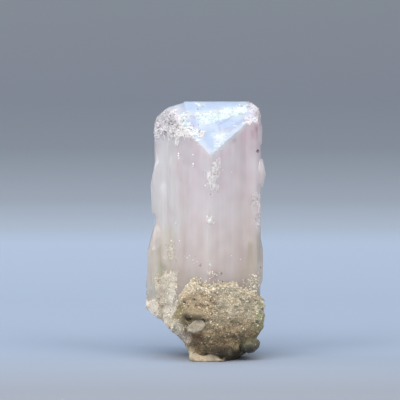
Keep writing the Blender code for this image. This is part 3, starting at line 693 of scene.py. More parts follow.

# %% [markdown]
# ## Stains and painted light in the crystal
# The crystal is lilac pink at its head and warmer below. Its left flank is cream with olive and green
# streaks, and its right flank is tan. Its upper left flank is painted whiter and its left edge bluish, as
# painted light from the left. Each stain is an outline of x and height with a colour and a strength, and
# its border is ragged along the crystal's length.

# %% Outlines of the stains
BODY_HEIGHTS = (12.0, 22.0, 34.0, 46.0, 56.0)
BODY_TINTS = ("#e9dbd1", "#eee1da", "#f8eeed", "#f8eef3", "#f4ecf5")
STAINS_AND_PAINTED_LIGHT = {
    # Painted light: the upper left flank is whitened where light from the left falls, and its edge strip is
    # painted bluish as edge light
    "left_flank_painted_light": ("#ffffff", 0.8, box(-13.8, 52.0, -6.9, 30.0)),
    "lilac_edge_light": ("#e2dfee", 0.7, box(-13.2, 51.0, -11.9, 35.2)),
    "cream_flank": (
        "#f6f1e0", 0.8, [(-13.8, 31.0), (-7.2, 31.0), (-7.0, 22.7), (-7.1, 12.0), (-13.8, 12.0)]
    ),
    "healed_cream": (
        "#f6efe0", 0.9, [(-14.6, 15.0), (-9.0, 14.0), (-7.0, 16.0), (-5.5, 3.0), (-14.6, 3.0)]
    ),
    "left_edge": ("#c9c4c2", 0.75, [(-13.2, 32.0), (-11.0, 31.6), (-11.2, 26.6), (-13.2, 26.0)]),
    "grey_green_edge": (
        "#b9c4bd", 0.8, [(-14.0, 26.0), (-13.0, 26.0), (-13.0, 21.6), (-13.3, 14.0), (-14.2, 14.0)]
    ),
    "beige_band": ("#e8d5c8", 0.7, box(-12.9, 26.1, -11.9, 20.1)),
    "olive_streak": ("#b4b09a", 0.6, [(-11.8, 25.9), (-10.8, 26.4), (-10.7, 22.2), (-11.7, 22.0)]),
    "green_streak": ("#d2dab8", 0.7, [(-11.8, 22.3), (-9.8, 22.0), (-9.7, 19.2), (-11.8, 19.2)]),
    "beige_smooth": ("#f0e6da", 0.8, box(-9.7, 23.4, -7.2, 19.9)),
    "pink_streak": ("#e4b6b2", 0.6, box(-13.6, 20.7, -12.8, 18.4)),
    "pale_facet": (
        "#dfe3d4", 0.7, [(-12.7, 18.2), (-11.8, 16.1), (-11.8, 14.0), (-13.8, 14.2), (-13.6, 16.1)]
    ),
    "groove": (
        "#a39a78", 0.7, [
            (-9.0, 18.0), (-8.3, 16.9), (-9.4, 14.5), (-9.7, 12.9), (-10.2, 13.1), (-9.9, 15.5),
        ],
    ),
    "grey_wedge": ("#a9a79c", 0.7, [(-9.8, 13.8), (-9.1, 11.6), (-10.4, 12.0)]),
    "pink_head": (
        "#e8ccd4", 0.35, [
            (7.6, 52.3), (8.6, 55.4), (11.6, 55.6), (12.6, 53.7), (12.4, 49.7), (10.6, 49.0), (9.0, 49.9),
        ],
    ),
    "mauve_spot": ("#b87f93", 0.7, [(11.2, 54.4), (11.8, 54.3), (11.9, 53.5), (11.4, 53.3)]),
    "mauve_spot_low": ("#b9899c", 0.6, [(10.6, 53.2), (11.1, 53.1), (11.1, 51.6), (10.7, 51.5)]),
    "notch": ("#aeb3ad", 0.6, [(5.2, 52.6), (6.7, 53.2), (6.9, 51.1), (5.4, 50.8)]),
    "pale_band": ("#fffafa", 0.6, [(-1.3, 47.4), (0.1, 47.2), (0.1, 44.2), (-1.2, 44.4)]),
    "tan_flank": (
        "#e3dccb", 0.75, [(9.4, 26.5), (11.2, 29.0), (13.4, 29.0), (13.4, 12.0), (9.4, 12.0), (9.0, 24.0)]
    ),
    "tan_streak": ("#b8ae98", 0.5, [(9.9, 27.2), (10.9, 26.8), (10.8, 22.5), (10.1, 22.5)]),
    "olive_edge": ("#a4ab92", 0.7, box(12.1, 29.5, 13.4, 22.7)),
    "rim_beige": ("#e3d3c4", 0.6, [(-6.6, 21.5), (9.0, 21.0), (9.0, 12.0), (-6.6, 12.0)]),
    "right_smudge": ("#b0a096", 0.6, [(10.9, 38.4), (11.5, 38.4), (11.5, 37.0), (11.0, 37.0)]),
}
# Painted reflection: the pale blue, lavender and grey-blue patches stand for the overhead panel mirrored in
# the roof; the white ones are real frost
ROOF_REFLECTION_AND_FROST = {
    "whole": ("#e4ebf2", 0.9, [(-8.0, -1.0), (-8.0, 8.0), (1.5, 18.0), (11.0, 8.0), (11.0, -1.0)]),
    "blue_top": ("#c6d4ee", 0.8, [(-2.6, -0.6), (7.2, -0.6), (7.0, 1.3), (-2.6, 1.7)]),
    "blue_left": ("#cddaf2", 0.8, box(-5.9, 0.0, -2.7, 2.8)),
    "blue_right": ("#cddaf2", 0.8, [(-1.5, 1.5), (4.6, 1.2), (3.0, 2.0), (-1.5, 2.9)]),
    "lavender": ("#d6d6f0", 0.8, box(-3.8, 4.4, -2.2, 7.9)),
    "blue_triangle": ("#c9d6f4", 0.8, [(2.0, 5.9), (9.2, 5.4), (5.4, 9.2), (3.0, 8.9)]),
    "grey_low": ("#c9d4e6", 0.8, [(-2.8, 8.4), (1.9, 8.4), (2.0, 12.4), (1.6, 15.2), (0.4, 14.0)]),
    "white_left": ("#ffffff", 0.9, box(-6.4, 3.0, -3.9, 4.9)),
    "green_white": ("#f8fffa", 0.9, ROOF_FROST["band"]),
    "white_edge": ("#ffffff", 0.9, ROOF_FROST["edge_patch"]),
    "white_chip": ("#ffffff", 0.9, ROOF_FROST["crest_chip"]),
    "white_dash": ("#ffffff", 0.9, ROOF_FROST["dash"]),
}
# Soft balls on the back: colour, middle and reach
BACK_STAINS = [
    ("#f2ead2", (-10.0, 5.0, 20.0), (6.0, 7.0, 16.0)),
    ("#dcd1b8", (11.0, 5.0, 20.0), (5.0, 6.0, 14.0)),
    ("#ecc4cb", (5.0, 9.0, 50.0), (4.0, 5.0, 9.0)),
]
print("outlines of stains:", len(STAINS_AND_PAINTED_LIGHT) + len(ROOF_REFLECTION_AND_FROST))

# %% [markdown]
# The colours of all points are one array. Three helpers work on it: a blend of two colours, a blend of
# several by height, and a step towards one colour.

# %% Helpers for colours


def between(low_code, high_code, share):
    """A blend of two colours for each share: the first at 0, the second at 1."""
    share = share.reshape(-1, 1)
    return linear(low_code) * (1 - share) + linear(high_code) * share


def by_height(points, heights, codes):
    """A colour for each point, blended by its height between the given ones."""
    rows = np.array([linear(code) for code in codes])
    return np.column_stack([np.interp(points[:, 2], heights, channel) for channel in rows.T])


def towards(tints, code, share):
    """Moves the colours towards one colour, each by its share."""
    return tints + (linear(code) - tints) * share[:, None]


print("half way to black", towards(np.ones((1, 3)), "#000000", np.array([0.5])))

# %% [markdown]
# The colours go on in this order: the body, the stains and painted light on the front, the stains on the
# back, the painted reflection of the blue overhead panel on the roof, and the frost. A painted picture could
# do the same, but it would need a layout of the skin, and colours at the points don't.

# %% Paint the crystal
WHITE_FROST = "#ffffff"
LOW_FROST = "#f8f2e4"
DULL_FROST = "#d0d0d6"
ROOF_FROST_TINT = "#c2d0cf"
LEFT_CORNER = ((-11.0, -3.0, 56.5), (6.5, 9.0, 5.5))
RIGHT_CORNER = ((11.0, -1.0, 58.0), (4.0, 8.0, 4.5))

tints = by_height(at, BODY_HEIGHTS, BODY_TINTS)
ragged = lumps(at, (0.6, 0.6, 4.5), 12)
patchy = 0.75 + 0.35 * lumps(at, (0.9, 0.9, 7.0), 13)
facing = ramp(-at[:, 1], -1.0, 2.5)
for code, strength, outline in STAINS_AND_PAINTED_LIGHT.values():
    share = on_front(at, outline, 0.55, 0.35 * ragged) * np.clip(patchy * strength, 0.0, 1.0) * facing
    tints = towards(tints, code, share)
for code, centre, reach in BACK_STAINS:
    share = near(at, centre, reach) * (at[:, 1] >= FRONT_LIMIT) * np.clip(patchy, 0.0, 1.0)
    tints = towards(tints, code, share)
blue = roof * (at[:, 0] > -6.4) * (at[:, 0] < 9.8)
wander = 0.3 * lumps(at, (1.5, 0.8, 0.8), 8)
# Painted reflection of the overhead panel, with the roof's real frost
for code, strength, outline in ROOF_REFLECTION_AND_FROST.values():
    edge = depth_inside(on_roof, outline) + wander
    tints = towards(tints, code, ramp(edge, -0.5, 0.5) * blue * strength)
whitened = between(LOW_FROST, WHITE_FROST, ramp(at[:, 2], 24.0, 32.0))
dull = np.clip((near(at, *LEFT_CORNER) + near(at, *RIGHT_CORNER)) * 1.5, 0.0, 1.0)
whitened = towards(towards(whitened, DULL_FROST, dull), ROOF_FROST_TINT, roof_frost > relief)
tints += (whitened - tints) * (0.85 * frost)[:, None]
clouds = 1.0 + 0.05 * lumps(at, (2.4, 2.4, 2.9), 14) + 0.03 * lumps(at, (1.2, 1.2, 9.0), 15)
tints = np.clip(tints * clouds[:, None], 0.0, 1.0)
print("mean colour", tints.mean(axis=0).round(2))
keep_values(crystal, "frost", frost)
keep_values(crystal, "relief", relief)
keep_tints(crystal, tints)

# %% [markdown]
# The etched patches get the second finish, face by face, where the frost is thick.

# %% Finish the crystal
THICK_FROST = 0.45
finish_piece(crystal, milky)
crystal.data.materials.append(etched_finish)
corners = np.empty(len(crystal.data.loops), dtype=np.int32)
crystal.data.loops.foreach_get("vertex_index", corners)
starts = np.empty(len(crystal.data.polygons), dtype=np.int32)
crystal.data.polygons.foreach_get("loop_start", starts)
thick = (frost[corners[starts]] > THICK_FROST).astype(np.int32)
crystal.data.polygons.foreach_set("material_index", thick)
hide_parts("danburite_crystal")
print("etched faces", int(thick.sum()))

# %% [markdown]
# ## The crust
# The druse is a crust of tiny quartz-like grains, each under a millimetre, grown together like sugar. Its
# ground is one closed skin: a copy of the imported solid, remeshed evenly and roughened by noise. The loose
# looking grains are added later as small meshes. Smooth places, such as the ledge and the two lobes, get
# less noise, and the holes are pushed in.

# %% Crust shape
SMOOTH_PLACES = [
    ((-2.6, -11.4, 10.6), (4.6, 4.4, 2.5)),
    ((-2.4, -11.8, 8.3), (3.2, 3.4, 2.3)),
    ((-1.0, -7.2, 0.8), (6.5, 4.0, 2.4)),
    ((10.6, -2.2, 3.4), (4.4, 5.2, 3.2)),
]
HOLES = [
    (-2.9, 14.8, 0.24), (-5.1, 13.8, 0.22), (-2.5, 16.3, 0.15), (-2.5, 13.5, 0.15), (-1.7, 13.2, 0.13),
    (-4.2, 12.9, 0.13), (1.4, 17.0, 0.16), (1.9, 12.6, 0.18), (1.3, 11.5, 0.15), (-1.0, 9.9, 0.3),
    (-3.9, 10.1, 0.22), (5.6, 7.2, 0.15), (7.4, 10.9, 0.13), (-0.6, 4.4, 0.15),
]
CREVICE = np.array([(-1.6, 1.9), (-0.3, 1.8), (1.4, 1.9), (2.6, 1.4), (3.8, 0.8)])
CREVICE_WIDTH = 0.28
HOLE_DEPTH = 0.55
RIGHT_DENT = ((13.6, -1.0, 14.8), (1.8, 7.0, 2.6))
CRUST_VOXEL = 0.26

crust = solid_copy("drusy_matrix", "drusy_crust")
apply_modifier(crust, "REMESH", mode="VOXEL", voxel_size=CRUST_VOXEL * MM)
crust_at = points_of(crust)
crust_out = normals_of(crust)
smooth = np.zeros(len(crust_at))
for centre, reach in SMOOTH_PLACES:
    smooth = np.maximum(smooth, ramp(near(crust_at, centre, reach), 0.1, 0.35))
holes = np.zeros(len(crust_at))
flat = crust_at[:, [0, 2]]
for x, z, size in HOLES:
    far = np.linalg.norm((flat - (x, z)) / (size * 1.3, size), axis=1)
    holes = np.maximum(holes, ramp(-far, -1.25, -0.5) * (crust_at[:, 1] < 0))
for start, end in zip(CREVICE, CREVICE[1:]):
    far = off_line(flat, start, end)
    holes = np.maximum(holes, ramp(-far, -CREVICE_WIDTH, -0.1) * (crust_at[:, 1] < -4))
rough = 1.0 - 0.75 * smooth
left_part = ramp(-crust_at[:, 0], 0.6, 2.0) * (crust_at[:, 1] < 0)
rough *= 1.0 - 0.4 * left_part
push = rough * (0.11 * lumps(crust_at, 0.6, 11) + 0.15 * lumps(crust_at, 1.5, 12)) - 0.08
push -= HOLE_DEPTH * holes
push -= 0.5 * near(crust_at, *RIGHT_DENT)
push_skin(crust, push)
print("crust skin", len(crust_at), "points")

# %% [markdown]
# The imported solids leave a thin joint, which the real piece doesn't have. So the crust's inner wall is
# drawn against the crystal: wholly where they are near, and less with more distance. Only points that
# face the crystal move, or the crust's rim would be pulled into spikes.

# %% Close the joint
CLOSED_WHOLLY = 0.7
CLOSED_WITHIN = 1.3

crystal_tree = BVHTree.FromObject(crystal, bpy.context.evaluated_depsgraph_get())
walls = points_of(crust)
for i, place in enumerate(walls):
    nearest, _, _, distance = crystal_tree.find_nearest(Vector(place) * MM, CLOSED_WITHIN * MM)
    if nearest is not None:
        share = 1.0 - max(0.0, distance / MM - CLOSED_WHOLLY) / (CLOSED_WITHIN - CLOSED_WHOLLY)
        inwards = np.array(nearest) / MM - place
        facing = crust_out[i] @ inwards / max(distance / MM, 0.001)
        walls[i] += inwards * share * min(1.0, max(0.0, facing * 2.0 + 0.6))
moved = np.linalg.norm(walls - points_of(crust), axis=1)
put_points(crust, walls)
shade_softly(crust)
print("wall points moved:", int((moved > 0).sum()), "by up to", moved.max().round(2), "mm")

# %% [markdown]
# The crust is cream at its upper right and tan at its left, and it is painted darker and browner towards
# the foot: partly its own brown, partly painted shade where less light reaches. The colour is worked out at
# every point, and the grains take it over from the ground below them.

# %% Paint the crust
# Darker and browner towards the foot: partly the crust's own colour, partly painted shade
CRUST_HEIGHTS = (0.0, 3.0, 6.0, 9.0, 12.0, 16.0, 19.0)
CRUST_TINTS = ("#8a765a", "#8d795a", "#978466", "#a7997f", "#b3a793", "#bfb5a4", "#cac2b3")
CRUST_STAINS_AND_SHADE = {
    "tan_left": ("#bba78b", 0.75, [(-6.2, 16.5), (1.6, 17.0), (2.4, 12.0), (-6.4, 11.0)]),
    "cream_rim": (
        "#e6dac6", 0.85, [(-6.9, 19.8), (0.5, 19.6), (0.6, 17.3), (-3.4, 17.0), (-5.4, 15.2), (-6.9, 12.5)]
    ),
    "lobe_hollow": ("#94866a", 0.9, [(-5.9, 11.5), (-0.2, 11.5), (-0.2, 9.9), (-3.0, 8.9), (-5.9, 9.0)]),
    "olive_left": ("#9a8e66", 0.8, [(-7.4, 13.4), (-5.2, 13.6), (-5.0, 9.0), (-7.4, 9.6)]),
    "cream_right": ("#c6bdaa", 0.7, [(3.6, 16.8), (12.6, 15.0), (12.6, 9.4), (4.6, 11.8)]),
    "pale_edge": ("#eee5d6", 0.85, [(-9.5, 9.6), (-6.3, 9.4), (-4.2, 4.2), (-5.4, 3.6), (-9.5, 7.5)]),
    # Painted shade under the overhang at the lower right
    "under_shade": ("#3a3024", 0.8, [(1.2, 2.7), (7.8, 2.6), (12.0, 1.7), (12.0, -0.5), (3.8, -0.5)]),
    "rust": ("#82593c", 0.85, [(-3.5, 6.9), (-1.2, 6.9), (-1.1, 5.3), (-3.5, 5.4)]),
    "pink_facet": ("#dccabb", 0.8, [(-5.6, 6.6), (-3.9, 6.4), (-3.5, 4.6), (-4.8, 4.2)]),
    "pale_foot": ("#e2d5be", 0.85, [(-4.6, 3.2), (-2.7, 3.0), (-2.6, 0.4), (-4.6, 0.4)]),
    "ledge": ("#dccdb4", 0.85, [(-2.8, 1.8), (1.4, 1.8), (3.8, 0.7), (3.8, 0.0), (-2.8, 0.0)]),
    "green_lump": ("#94876b", 0.6, [(5.2, 4.8), (7.7, 4.8), (7.8, 2.2), (5.2, 2.2)]),
    "olive_lobe": ("#77725a", 0.9, box(7.9, 5.6, 12.8, 1.2)),
    "green_side": ("#a6ab84", 0.7, box(11.6, 13.0, 13.4, 7.0)),
}
# Painted shade in the holes and along the crevice, which are also pushed in
HOLE_SHADE_COLOUR = "#3a301f"
# The sky light adds some blue, so the colours are a little yellower than the photo's.
YELLOWER = np.array((0.99, 0.98, 0.93))

crust_tints = by_height(crust_at, CRUST_HEIGHTS, CRUST_TINTS)
ragged = lumps(crust_at, 1.3, 16)
for code, strength, outline in CRUST_STAINS_AND_SHADE.values():
    share = on_front(crust_at, outline, 0.6, 0.4 * ragged) * strength
    crust_tints = towards(crust_tints, code, share)
mottle = 1.0 + 0.14 * lumps(crust_at, 0.8, 17) + 0.1 * lumps(crust_at, 2.6, 18)
crust_tints *= mottle[:, None] * YELLOWER
warm = ramp(lumps(crust_at, 1.8, 19), 0.2, 0.9)[:, None] * 0.15
crust_tints = np.clip(crust_tints * (1 - warm * np.array((0.1, 0.35, 0.6))), 0.0, 1.0)
# Painted shade: the ground between the grains is darkened, less on the smooth places
shaded_ground_tints = crust_tints * (0.68 + 0.28 * smooth[:, None])
keep_tints(crust, towards(shaded_ground_tints, HOLE_SHADE_COLOUR, 0.8 * holes))
print("mean colour", crust_tints.mean(axis=0).round(2))

# %% [markdown]
# The ground between the grains is dull and gritty. Its colour is painted darker than the grains, as
# painted shade in the gaps between them. Its grit is a tenth of a millimetre on the real piece, which is too
# fine to show, so the noise is drawn three times as coarse.

# %% Druse finishes
GRIT_SIZE = 0.3
QUARTZ_IOR = 1.54


def druse(name, roughness, bump_height):
    """Grainy quartz in the colour of each point, speckled lighter and darker by its grit."""
    made, tree, shader, in_mm = new_material(name)
    tint = node(tree, "Attribute", attribute_name="tint")
    grit = node(tree, "TexNoise", {"Vector": in_mm, "Scale": 1 / GRIT_SIZE, "Detail": 3.0})
    speckle = node(tree, "MapRange", {0: grit, 1: 0.35, 2: 0.65, 3: 0.78, 4: 1.22})
    light = node(tree, "CombineColor", {0: speckle, 1: speckle, 2: speckle})
    shade = node(tree, "Mix", {0: 1.0, 6: tint, 7: light}, **MULTIPLY)
    tree.links.new(shade, shader.inputs["Base Color"])
    bump = node(tree, "Bump", {"Strength": 0.5, "Distance": bump_height * MM, "Height": grit})
    tree.links.new(bump, shader.inputs["Normal"])
    set_inputs(shader, {"Roughness": roughness, "IOR": QUARTZ_IOR})
    return made


ground_finish = druse("gritty_druse_ground", 0.65, 0.1)
sugar_finish = druse("sugary_quartz_grains", 0.3, 0.03)
smooth_finish = druse("smooth_chalcedony", 0.38, 0.05)
finish_piece(crust, ground_finish)
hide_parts("drusy_matrix")

# %% [markdown]
# ## The curved lobe
# A smooth, yellowish lobe lies across the left of the crust, like a bent finger. It is drawn as a curve
# with a thickness at each point, then turned into a mesh and dented by a little noise. The same helper
# finishes the two smooth shapes that follow.

# %% Curved lobe
LUMP_VOXEL = 0.12
# Places on the curve with the lobe's thickness there
LOBE_PATH = [
    (-2.9, -11.3, 9.3, 0.25), (-3.8, -10.8, 9.2, 0.45), (-4.7, -10.1, 9.4, 0.55), (-5.2, -9.9, 10.3, 0.65),
    (-5.0, -10.2, 11.2, 0.7), (-4.5, -10.6, 11.8, 0.75), (-3.8, -11.2, 11.7, 0.95),
    (-2.9, -11.8, 11.4, 1.05), (-1.9, -12.3, 11.3, 0.95), (-0.8, -12.7, 11.35, 0.7),
    (0.2, -12.9, 11.35, 0.4), (0.7, -12.8, 11.3, 0.15),
]
LOBE_SHADED = (11.0, 12.9)


def finish_lump(piece, tints, dents, mottle, sink=0.0):
    """Dents a smooth lump, mottles its colour and finishes it. Noise comes as strength, size and seed."""
    at = points_of(piece)
    push_skin(piece, sum(depth * lumps(at, size, seed) for depth, size, seed in dents) - sink)
    shade_softly(piece)
    strength, size, seed = mottle
    keep_tints(piece, tints * (1 + strength * lumps(at, size, seed))[:, None])
    finish_piece(piece, smooth_finish)


bpy.ops.object.select_all(action="DESELECT")
bpy.ops.curve.primitive_nurbs_path_add()
lobe = bpy.context.object
lobe.name = "curved_lobe"
spline = lobe.data.splines[0]
spline.points.add(len(LOBE_PATH) - len(spline.points))
for point, (x, y, z, thickness) in zip(spline.points, LOBE_PATH):
    point.co = (x * MM, y * MM, z * MM, 1.0)
    point.radius = thickness
spline.order_u = 3
spline.use_endpoint_u = True
spline.resolution_u = 10
lobe.data.bevel_depth = MM
lobe.data.bevel_resolution = 8
lobe.data.use_fill_caps = True
bpy.ops.object.convert(target="MESH")
lobe = bpy.context.object
apply_modifier(lobe, "REMESH", mode="VOXEL", voxel_size=LUMP_VOXEL * MM)
# Painted light and shade: the lobe is darker below and lighter on top
lobe_shaded_tints = between("#6f6147", "#968669", ramp(points_of(lobe)[:, 2], *LOBE_SHADED))
finish_lump(lobe, lobe_shaded_tints, [(0.07, 0.9, 31), (0.02, 0.3, 32)], (0.1, 0.7, 33))

# %% [markdown]
# ## The olive lobe
# A second smooth lobe bulges out at the lower right, dark olive green. It is a sphere, stretched to an egg
# and dented by noise, and it is painted lighter on top and darker on its lower side as painted light and
# shade.

# %% Olive lobe
OLIVE_PLACE = (9.4, -4.4, 3.65)
OLIVE_RADII = (2.95, 3.3, 2.0)
OLIVE_SHADED = (2.6, 5.2)

bpy.ops.object.select_all(action="DESELECT")
bpy.ops.mesh.primitive_uv_sphere_add(segments=64, ring_count=32, radius=MM)
olive = bpy.context.object
olive.name = "olive_lobe"
olive.scale = OLIVE_RADII
olive.location = Vector(OLIVE_PLACE) * MM
bpy.ops.object.transform_apply(location=True, rotation=False, scale=True)
# Painted light and shade: darker on the lower side, lighter on top
olive_shaded_tints = between("#332e20", "#636049", ramp(points_of(olive)[:, 2], *OLIVE_SHADED))
finish_lump(olive, olive_shaded_tints, [(0.3, 2.2, 37), (0.08, 0.6, 38)], (0.12, 0.9, 39), sink=0.1)

# %% [markdown]
# ## The pale flake
# Under the lobe a flat, pale flake leans on the crust. It starts as a disc of eight corners, which are
# moved to the flake's outline. The disc is extruded into a plate, its edges are bevelled, and it is turned
# to lean as the real one does.

# %% Pale flake
FLAKE_OUTLINE = [
    (-4.4, 8.2), (-3.9, 7.4), (-2.5, 7.1), (-1.0, 7.6), (-0.1, 8.8), (-0.7, 10.1), (-2.0, 10.5), (-3.1, 9.3)
]
FLAKE_FRONT = -12.35
FLAKE_BACK = -10.4
FLAKE_MIDDLE = (-2.2, (FLAKE_FRONT + FLAKE_BACK) / 2, 8.8)
FLAKE_BEVEL = 0.22
FLAKE_GROWTH = (1.12, 1.0, 1.08)
FLAKE_TURN = -16.0
FLAKE_TIP = -12.0

bpy.ops.object.select_all(action="DESELECT")
bpy.ops.mesh.primitive_circle_add(vertices=len(FLAKE_OUTLINE), radius=MM, fill_type="NGON")
flake = bpy.context.object
flake.name = "pale_flake"
for vert, (x, z) in zip(flake.data.vertices, FLAKE_OUTLINE):
    vert.co = (x * MM, FLAKE_BACK * MM, z * MM)
bpy.ops.object.mode_set(mode="EDIT")
bpy.ops.mesh.select_all(action="SELECT")
forward = (0.0, (FLAKE_FRONT - FLAKE_BACK) * MM, 0.0)
bpy.ops.mesh.extrude_region_move(TRANSFORM_OT_translate={"value": forward})
bpy.ops.mesh.select_all(action="SELECT")
bpy.ops.mesh.normals_make_consistent(inside=False)
bpy.ops.object.mode_set(mode="OBJECT")
apply_modifier(flake, "BEVEL", width=FLAKE_BEVEL * MM, segments=2)
middle = Matrix.Translation(Vector(FLAKE_MIDDLE) * MM)
grow = Matrix.Diagonal((*FLAKE_GROWTH, 1.0))
turn = Matrix.Rotation(math.radians(FLAKE_TURN), 4, "Z")
tip = Matrix.Rotation(math.radians(FLAKE_TIP), 4, "X")
flake.data.transform(middle @ turn @ tip @ grow @ middle.inverted())
apply_modifier(flake, "REMESH", mode="VOXEL", voxel_size=LUMP_VOXEL * MM)
finish_lump(flake, linear("#978e7c"), [(0.06, 0.8, 34), (0.02, 0.3, 35)], (0.1, 0.8, 36))

# %% [markdown]
# ## Grain shapes
# A grain of the druse is a small blunt crystal. Three are modelled with a few cuts, and thousands
# of copies are strewn later, so each has only a few dozen faces.

# %% Three grains


def grain(name, cuts):
    """Cuts flat faces off the grain in hand and gives back its points and triangles."""
    made = bpy.context.object
    made.name = name
    bpy.ops.object.transform_apply(location=False, rotation=False, scale=True)
    bpy.ops.object.mode_set(mode="EDIT")
    for where, way in cuts:
        bpy.ops.mesh.select_all(action="SELECT")
        bpy.ops.mesh.bisect(plane_co=where, plane_no=way, use_fill=True, clear_outer=True)
    bpy.ops.mesh.select_all(action="SELECT")
    bpy.ops.mesh.quads_convert_to_tris()
    bpy.ops.mesh.normals_make_consistent(inside=False)
    bpy.ops.object.mode_set(mode="OBJECT")
    points = np.array([vert.co for vert in made.data.vertices])
    faces = np.array([face.vertices for face in made.data.polygons])
    bpy.data.objects.remove(made)
    print(name, len(points), "points", len(faces), "faces")
    return points, faces


bpy.ops.object.select_all(action="DESELECT")
bpy.ops.mesh.primitive_ico_sphere_add(subdivisions=1, radius=0.55)
BLOCK = grain("block", [((0, 0, 0.3), (0, 0.2, 1)), ((0.32, 0, 0), (1, 0, 0.1)), ((0, 0.3, 0), (0.2, 1, 0))])
bpy.ops.mesh.primitive_cube_add(size=0.85)
CHIP = grain("chip", [((0.3, 0.2, 0.2), (1, 1, 0.8)), ((-0.2, -0.3, 0.25), (-0.8, -0.6, 1))])
bpy.ops.mesh.primitive_cone_add(vertices=5, radius1=0.42, radius2=0.3, depth=0.9)
POINT = grain("point", [((0.1, 0, 0.25), (1, 0.2, 1)), ((-0.1, 0.05, 0.3), (-1, 0.4, 1))])

# %% [markdown]
# ## Strewing grains
# Grains grow where a chance says so. Places are drawn at random over the host's faces, larger faces more
# often, and each is kept or dropped by the chance at that point. All copies of a grain then become one
# mesh, each turned and sized at random, sunk a little into the skin and tinted like the ground below it.

# %% Helpers for strewing


def skin_spots(host, count, seed, chance):
    """Random places on a mesh with their outward ways and the point of the mesh each is next to."""
    draw = np.random.RandomState(seed)
    mesh = host.data
    mesh.calc_loop_triangles()
    corners = np.empty(len(mesh.loop_triangles) * 3, dtype=np.int32)
    mesh.loop_triangles.foreach_get("vertices", corners)
    corners = corners.reshape(-1, 3)
    at = points_of(host)
    a, b, c = at[corners[:, 0]], at[corners[:, 1]], at[corners[:, 2]]
    cross = np.cross(b - a, c - a)
    area = np.linalg.norm(cross, axis=1)
    chosen = draw.choice(len(area), size=count, p=area / area.sum())
    u, v = draw.rand(count, 1), draw.rand(count, 1)
    over = (u + v) > 1
    u, v = np.where(over, 1 - u, u), np.where(over, 1 - v, v)
    spots = a[chosen] * (1 - u - v) + b[chosen] * u + c[chosen] * v
    ways = cross[chosen] / area[chosen][:, None]
    beside = corners[chosen, 0]
    kept = draw.rand(count) < chance[beside]
    return spots[kept], ways[kept], beside[kept]


def strew(name, shape, spots, ways, sizes, tints, seed, sink, lean=0.45):
    """Copies one grain to every place, each turned and sized at random, as one mesh."""
    draw = np.random.RandomState(seed)
    points, faces = shape
    count = len(spots)
    axis = ways + draw.normal(0, lean, (count, 3))
    axis /= np.linalg.norm(axis, axis=1)[:, None]
    other = np.cross(axis, draw.normal(0, 1, (count, 3)))
    other /= np.linalg.norm(other, axis=1)[:, None]
    third = np.cross(axis, other)
    size = draw.uniform(0, 1, count) ** 1.8 * (sizes[1] - sizes[0]) + sizes[0]
    local = points[None, :, :] * (size[:, None] * draw.uniform(0.75, 1.25, (count, 3)))[:, None, :]
    placed = sum(local[:, :, i : i + 1] * way[:, None, :] for i, way in enumerate((other, third, axis)))
    placed += (spots - ways * size[:, None] * sink)[:, None, :]
    rows = faces[None, :, :] + (np.arange(count) * len(points))[:, None, None]
    mesh = bpy.data.meshes.new(name)
    mesh.from_pydata((placed.reshape(-1, 3) * MM).tolist(), [], rows.reshape(-1, 3).tolist())
    made = bpy.data.objects.new(name, mesh)
    bpy.context.scene.collection.objects.link(made)
    keep_tints(made, np.repeat(np.clip(tints, 0.0, 1.0), len(points), axis=0))
    return made


def pale_tints(count, seed, low_code, high_code):
    """One random blend of two colours for each grain."""
    return between(low_code, high_code, np.random.RandomState(seed).uniform(0, 1, (count, 1)))


def sparkled(tints, seed, spread, bright_share):
    """Makes each grain a little lighter or darker than the ground, and a few of them white."""
    draw = np.random.RandomState(seed)
    shaded = tints * draw.uniform(0.96 - spread, 0.96 + spread, len(tints))[:, None]
    bright = (draw.rand(len(tints)) < bright_share)[:, None]
    return np.where(bright, shaded * 0.3 + linear("#fffcf4") * 0.7, shaded)


print("random blends", pale_tints(2, 0, "#000000", "#ffffff").round(2).tolist())

# %% [markdown]
# ## The sugar on the crust
# Larger blunt grains, finer chips and small upright points cover the outer skin of the crust. The smooth
# places stay nearly bare, and the left part has finer grains.

# %% Crust grains
CRUST_MIDDLE = (2.3, 0.0)
away = crust_at[:, :2] - CRUST_MIDDLE
outward = np.sum(away * crust_out[:, :2], axis=1) > -0.5
bare = outward * ramp(crust_at[:, 2], 0.8, 3.0) * (1 - 0.97 * smooth) * (1 - holes)
coarse_chance = bare * (1 - 0.75 * left_part)
fine_chance = bare * (1 - 0.25 * left_part)
# Name, shape, places tried, sizes, seed, chance and share of white grains
STREWN = (
    ("coarse_grains", BLOCK, 2400, (0.32, 0.64), 21, coarse_chance, 0.05),
    ("point_grains", POINT, 2600, (0.26, 0.54), 23, coarse_chance, 0.06),
    ("sugar_grains", CHIP, 10000, (0.24, 0.42), 22, fine_chance, 0.05),
    ("fine_grains", CHIP, 11000, (0.18, 0.32), 24, fine_chance, 0.03),
)
for name, shape, count, sizes, seed, chance, bright_share in STREWN:
    spots, ways, beside = skin_spots(crust, count, seed, chance)
    grain_tints = sparkled(crust_tints[beside], seed, 0.3, bright_share * ramp(spots[:, 2], 4.0, 9.0))
    finish_piece(strew(name, shape, spots, ways, sizes, grain_tints, seed, 0.1), sugar_finish)

LIGHTLY_STREWN = (("lobe_grains", lobe, "#8f7f60", 160, 25), ("olive_grains", olive, "#7d785c", 240, 26))
for name, host, code, count, seed in LIGHTLY_STREWN:
    spots, ways, beside = skin_spots(host, count, seed, np.ones(len(host.data.vertices)))
    grain_tints = sparkled(np.tile(linear(code), (len(spots), 1)), seed, 0.25, 0.05)
    finish_piece(strew(name, CHIP, spots, ways, (0.14, 0.28), grain_tints, seed, 0.2), sugar_finish)

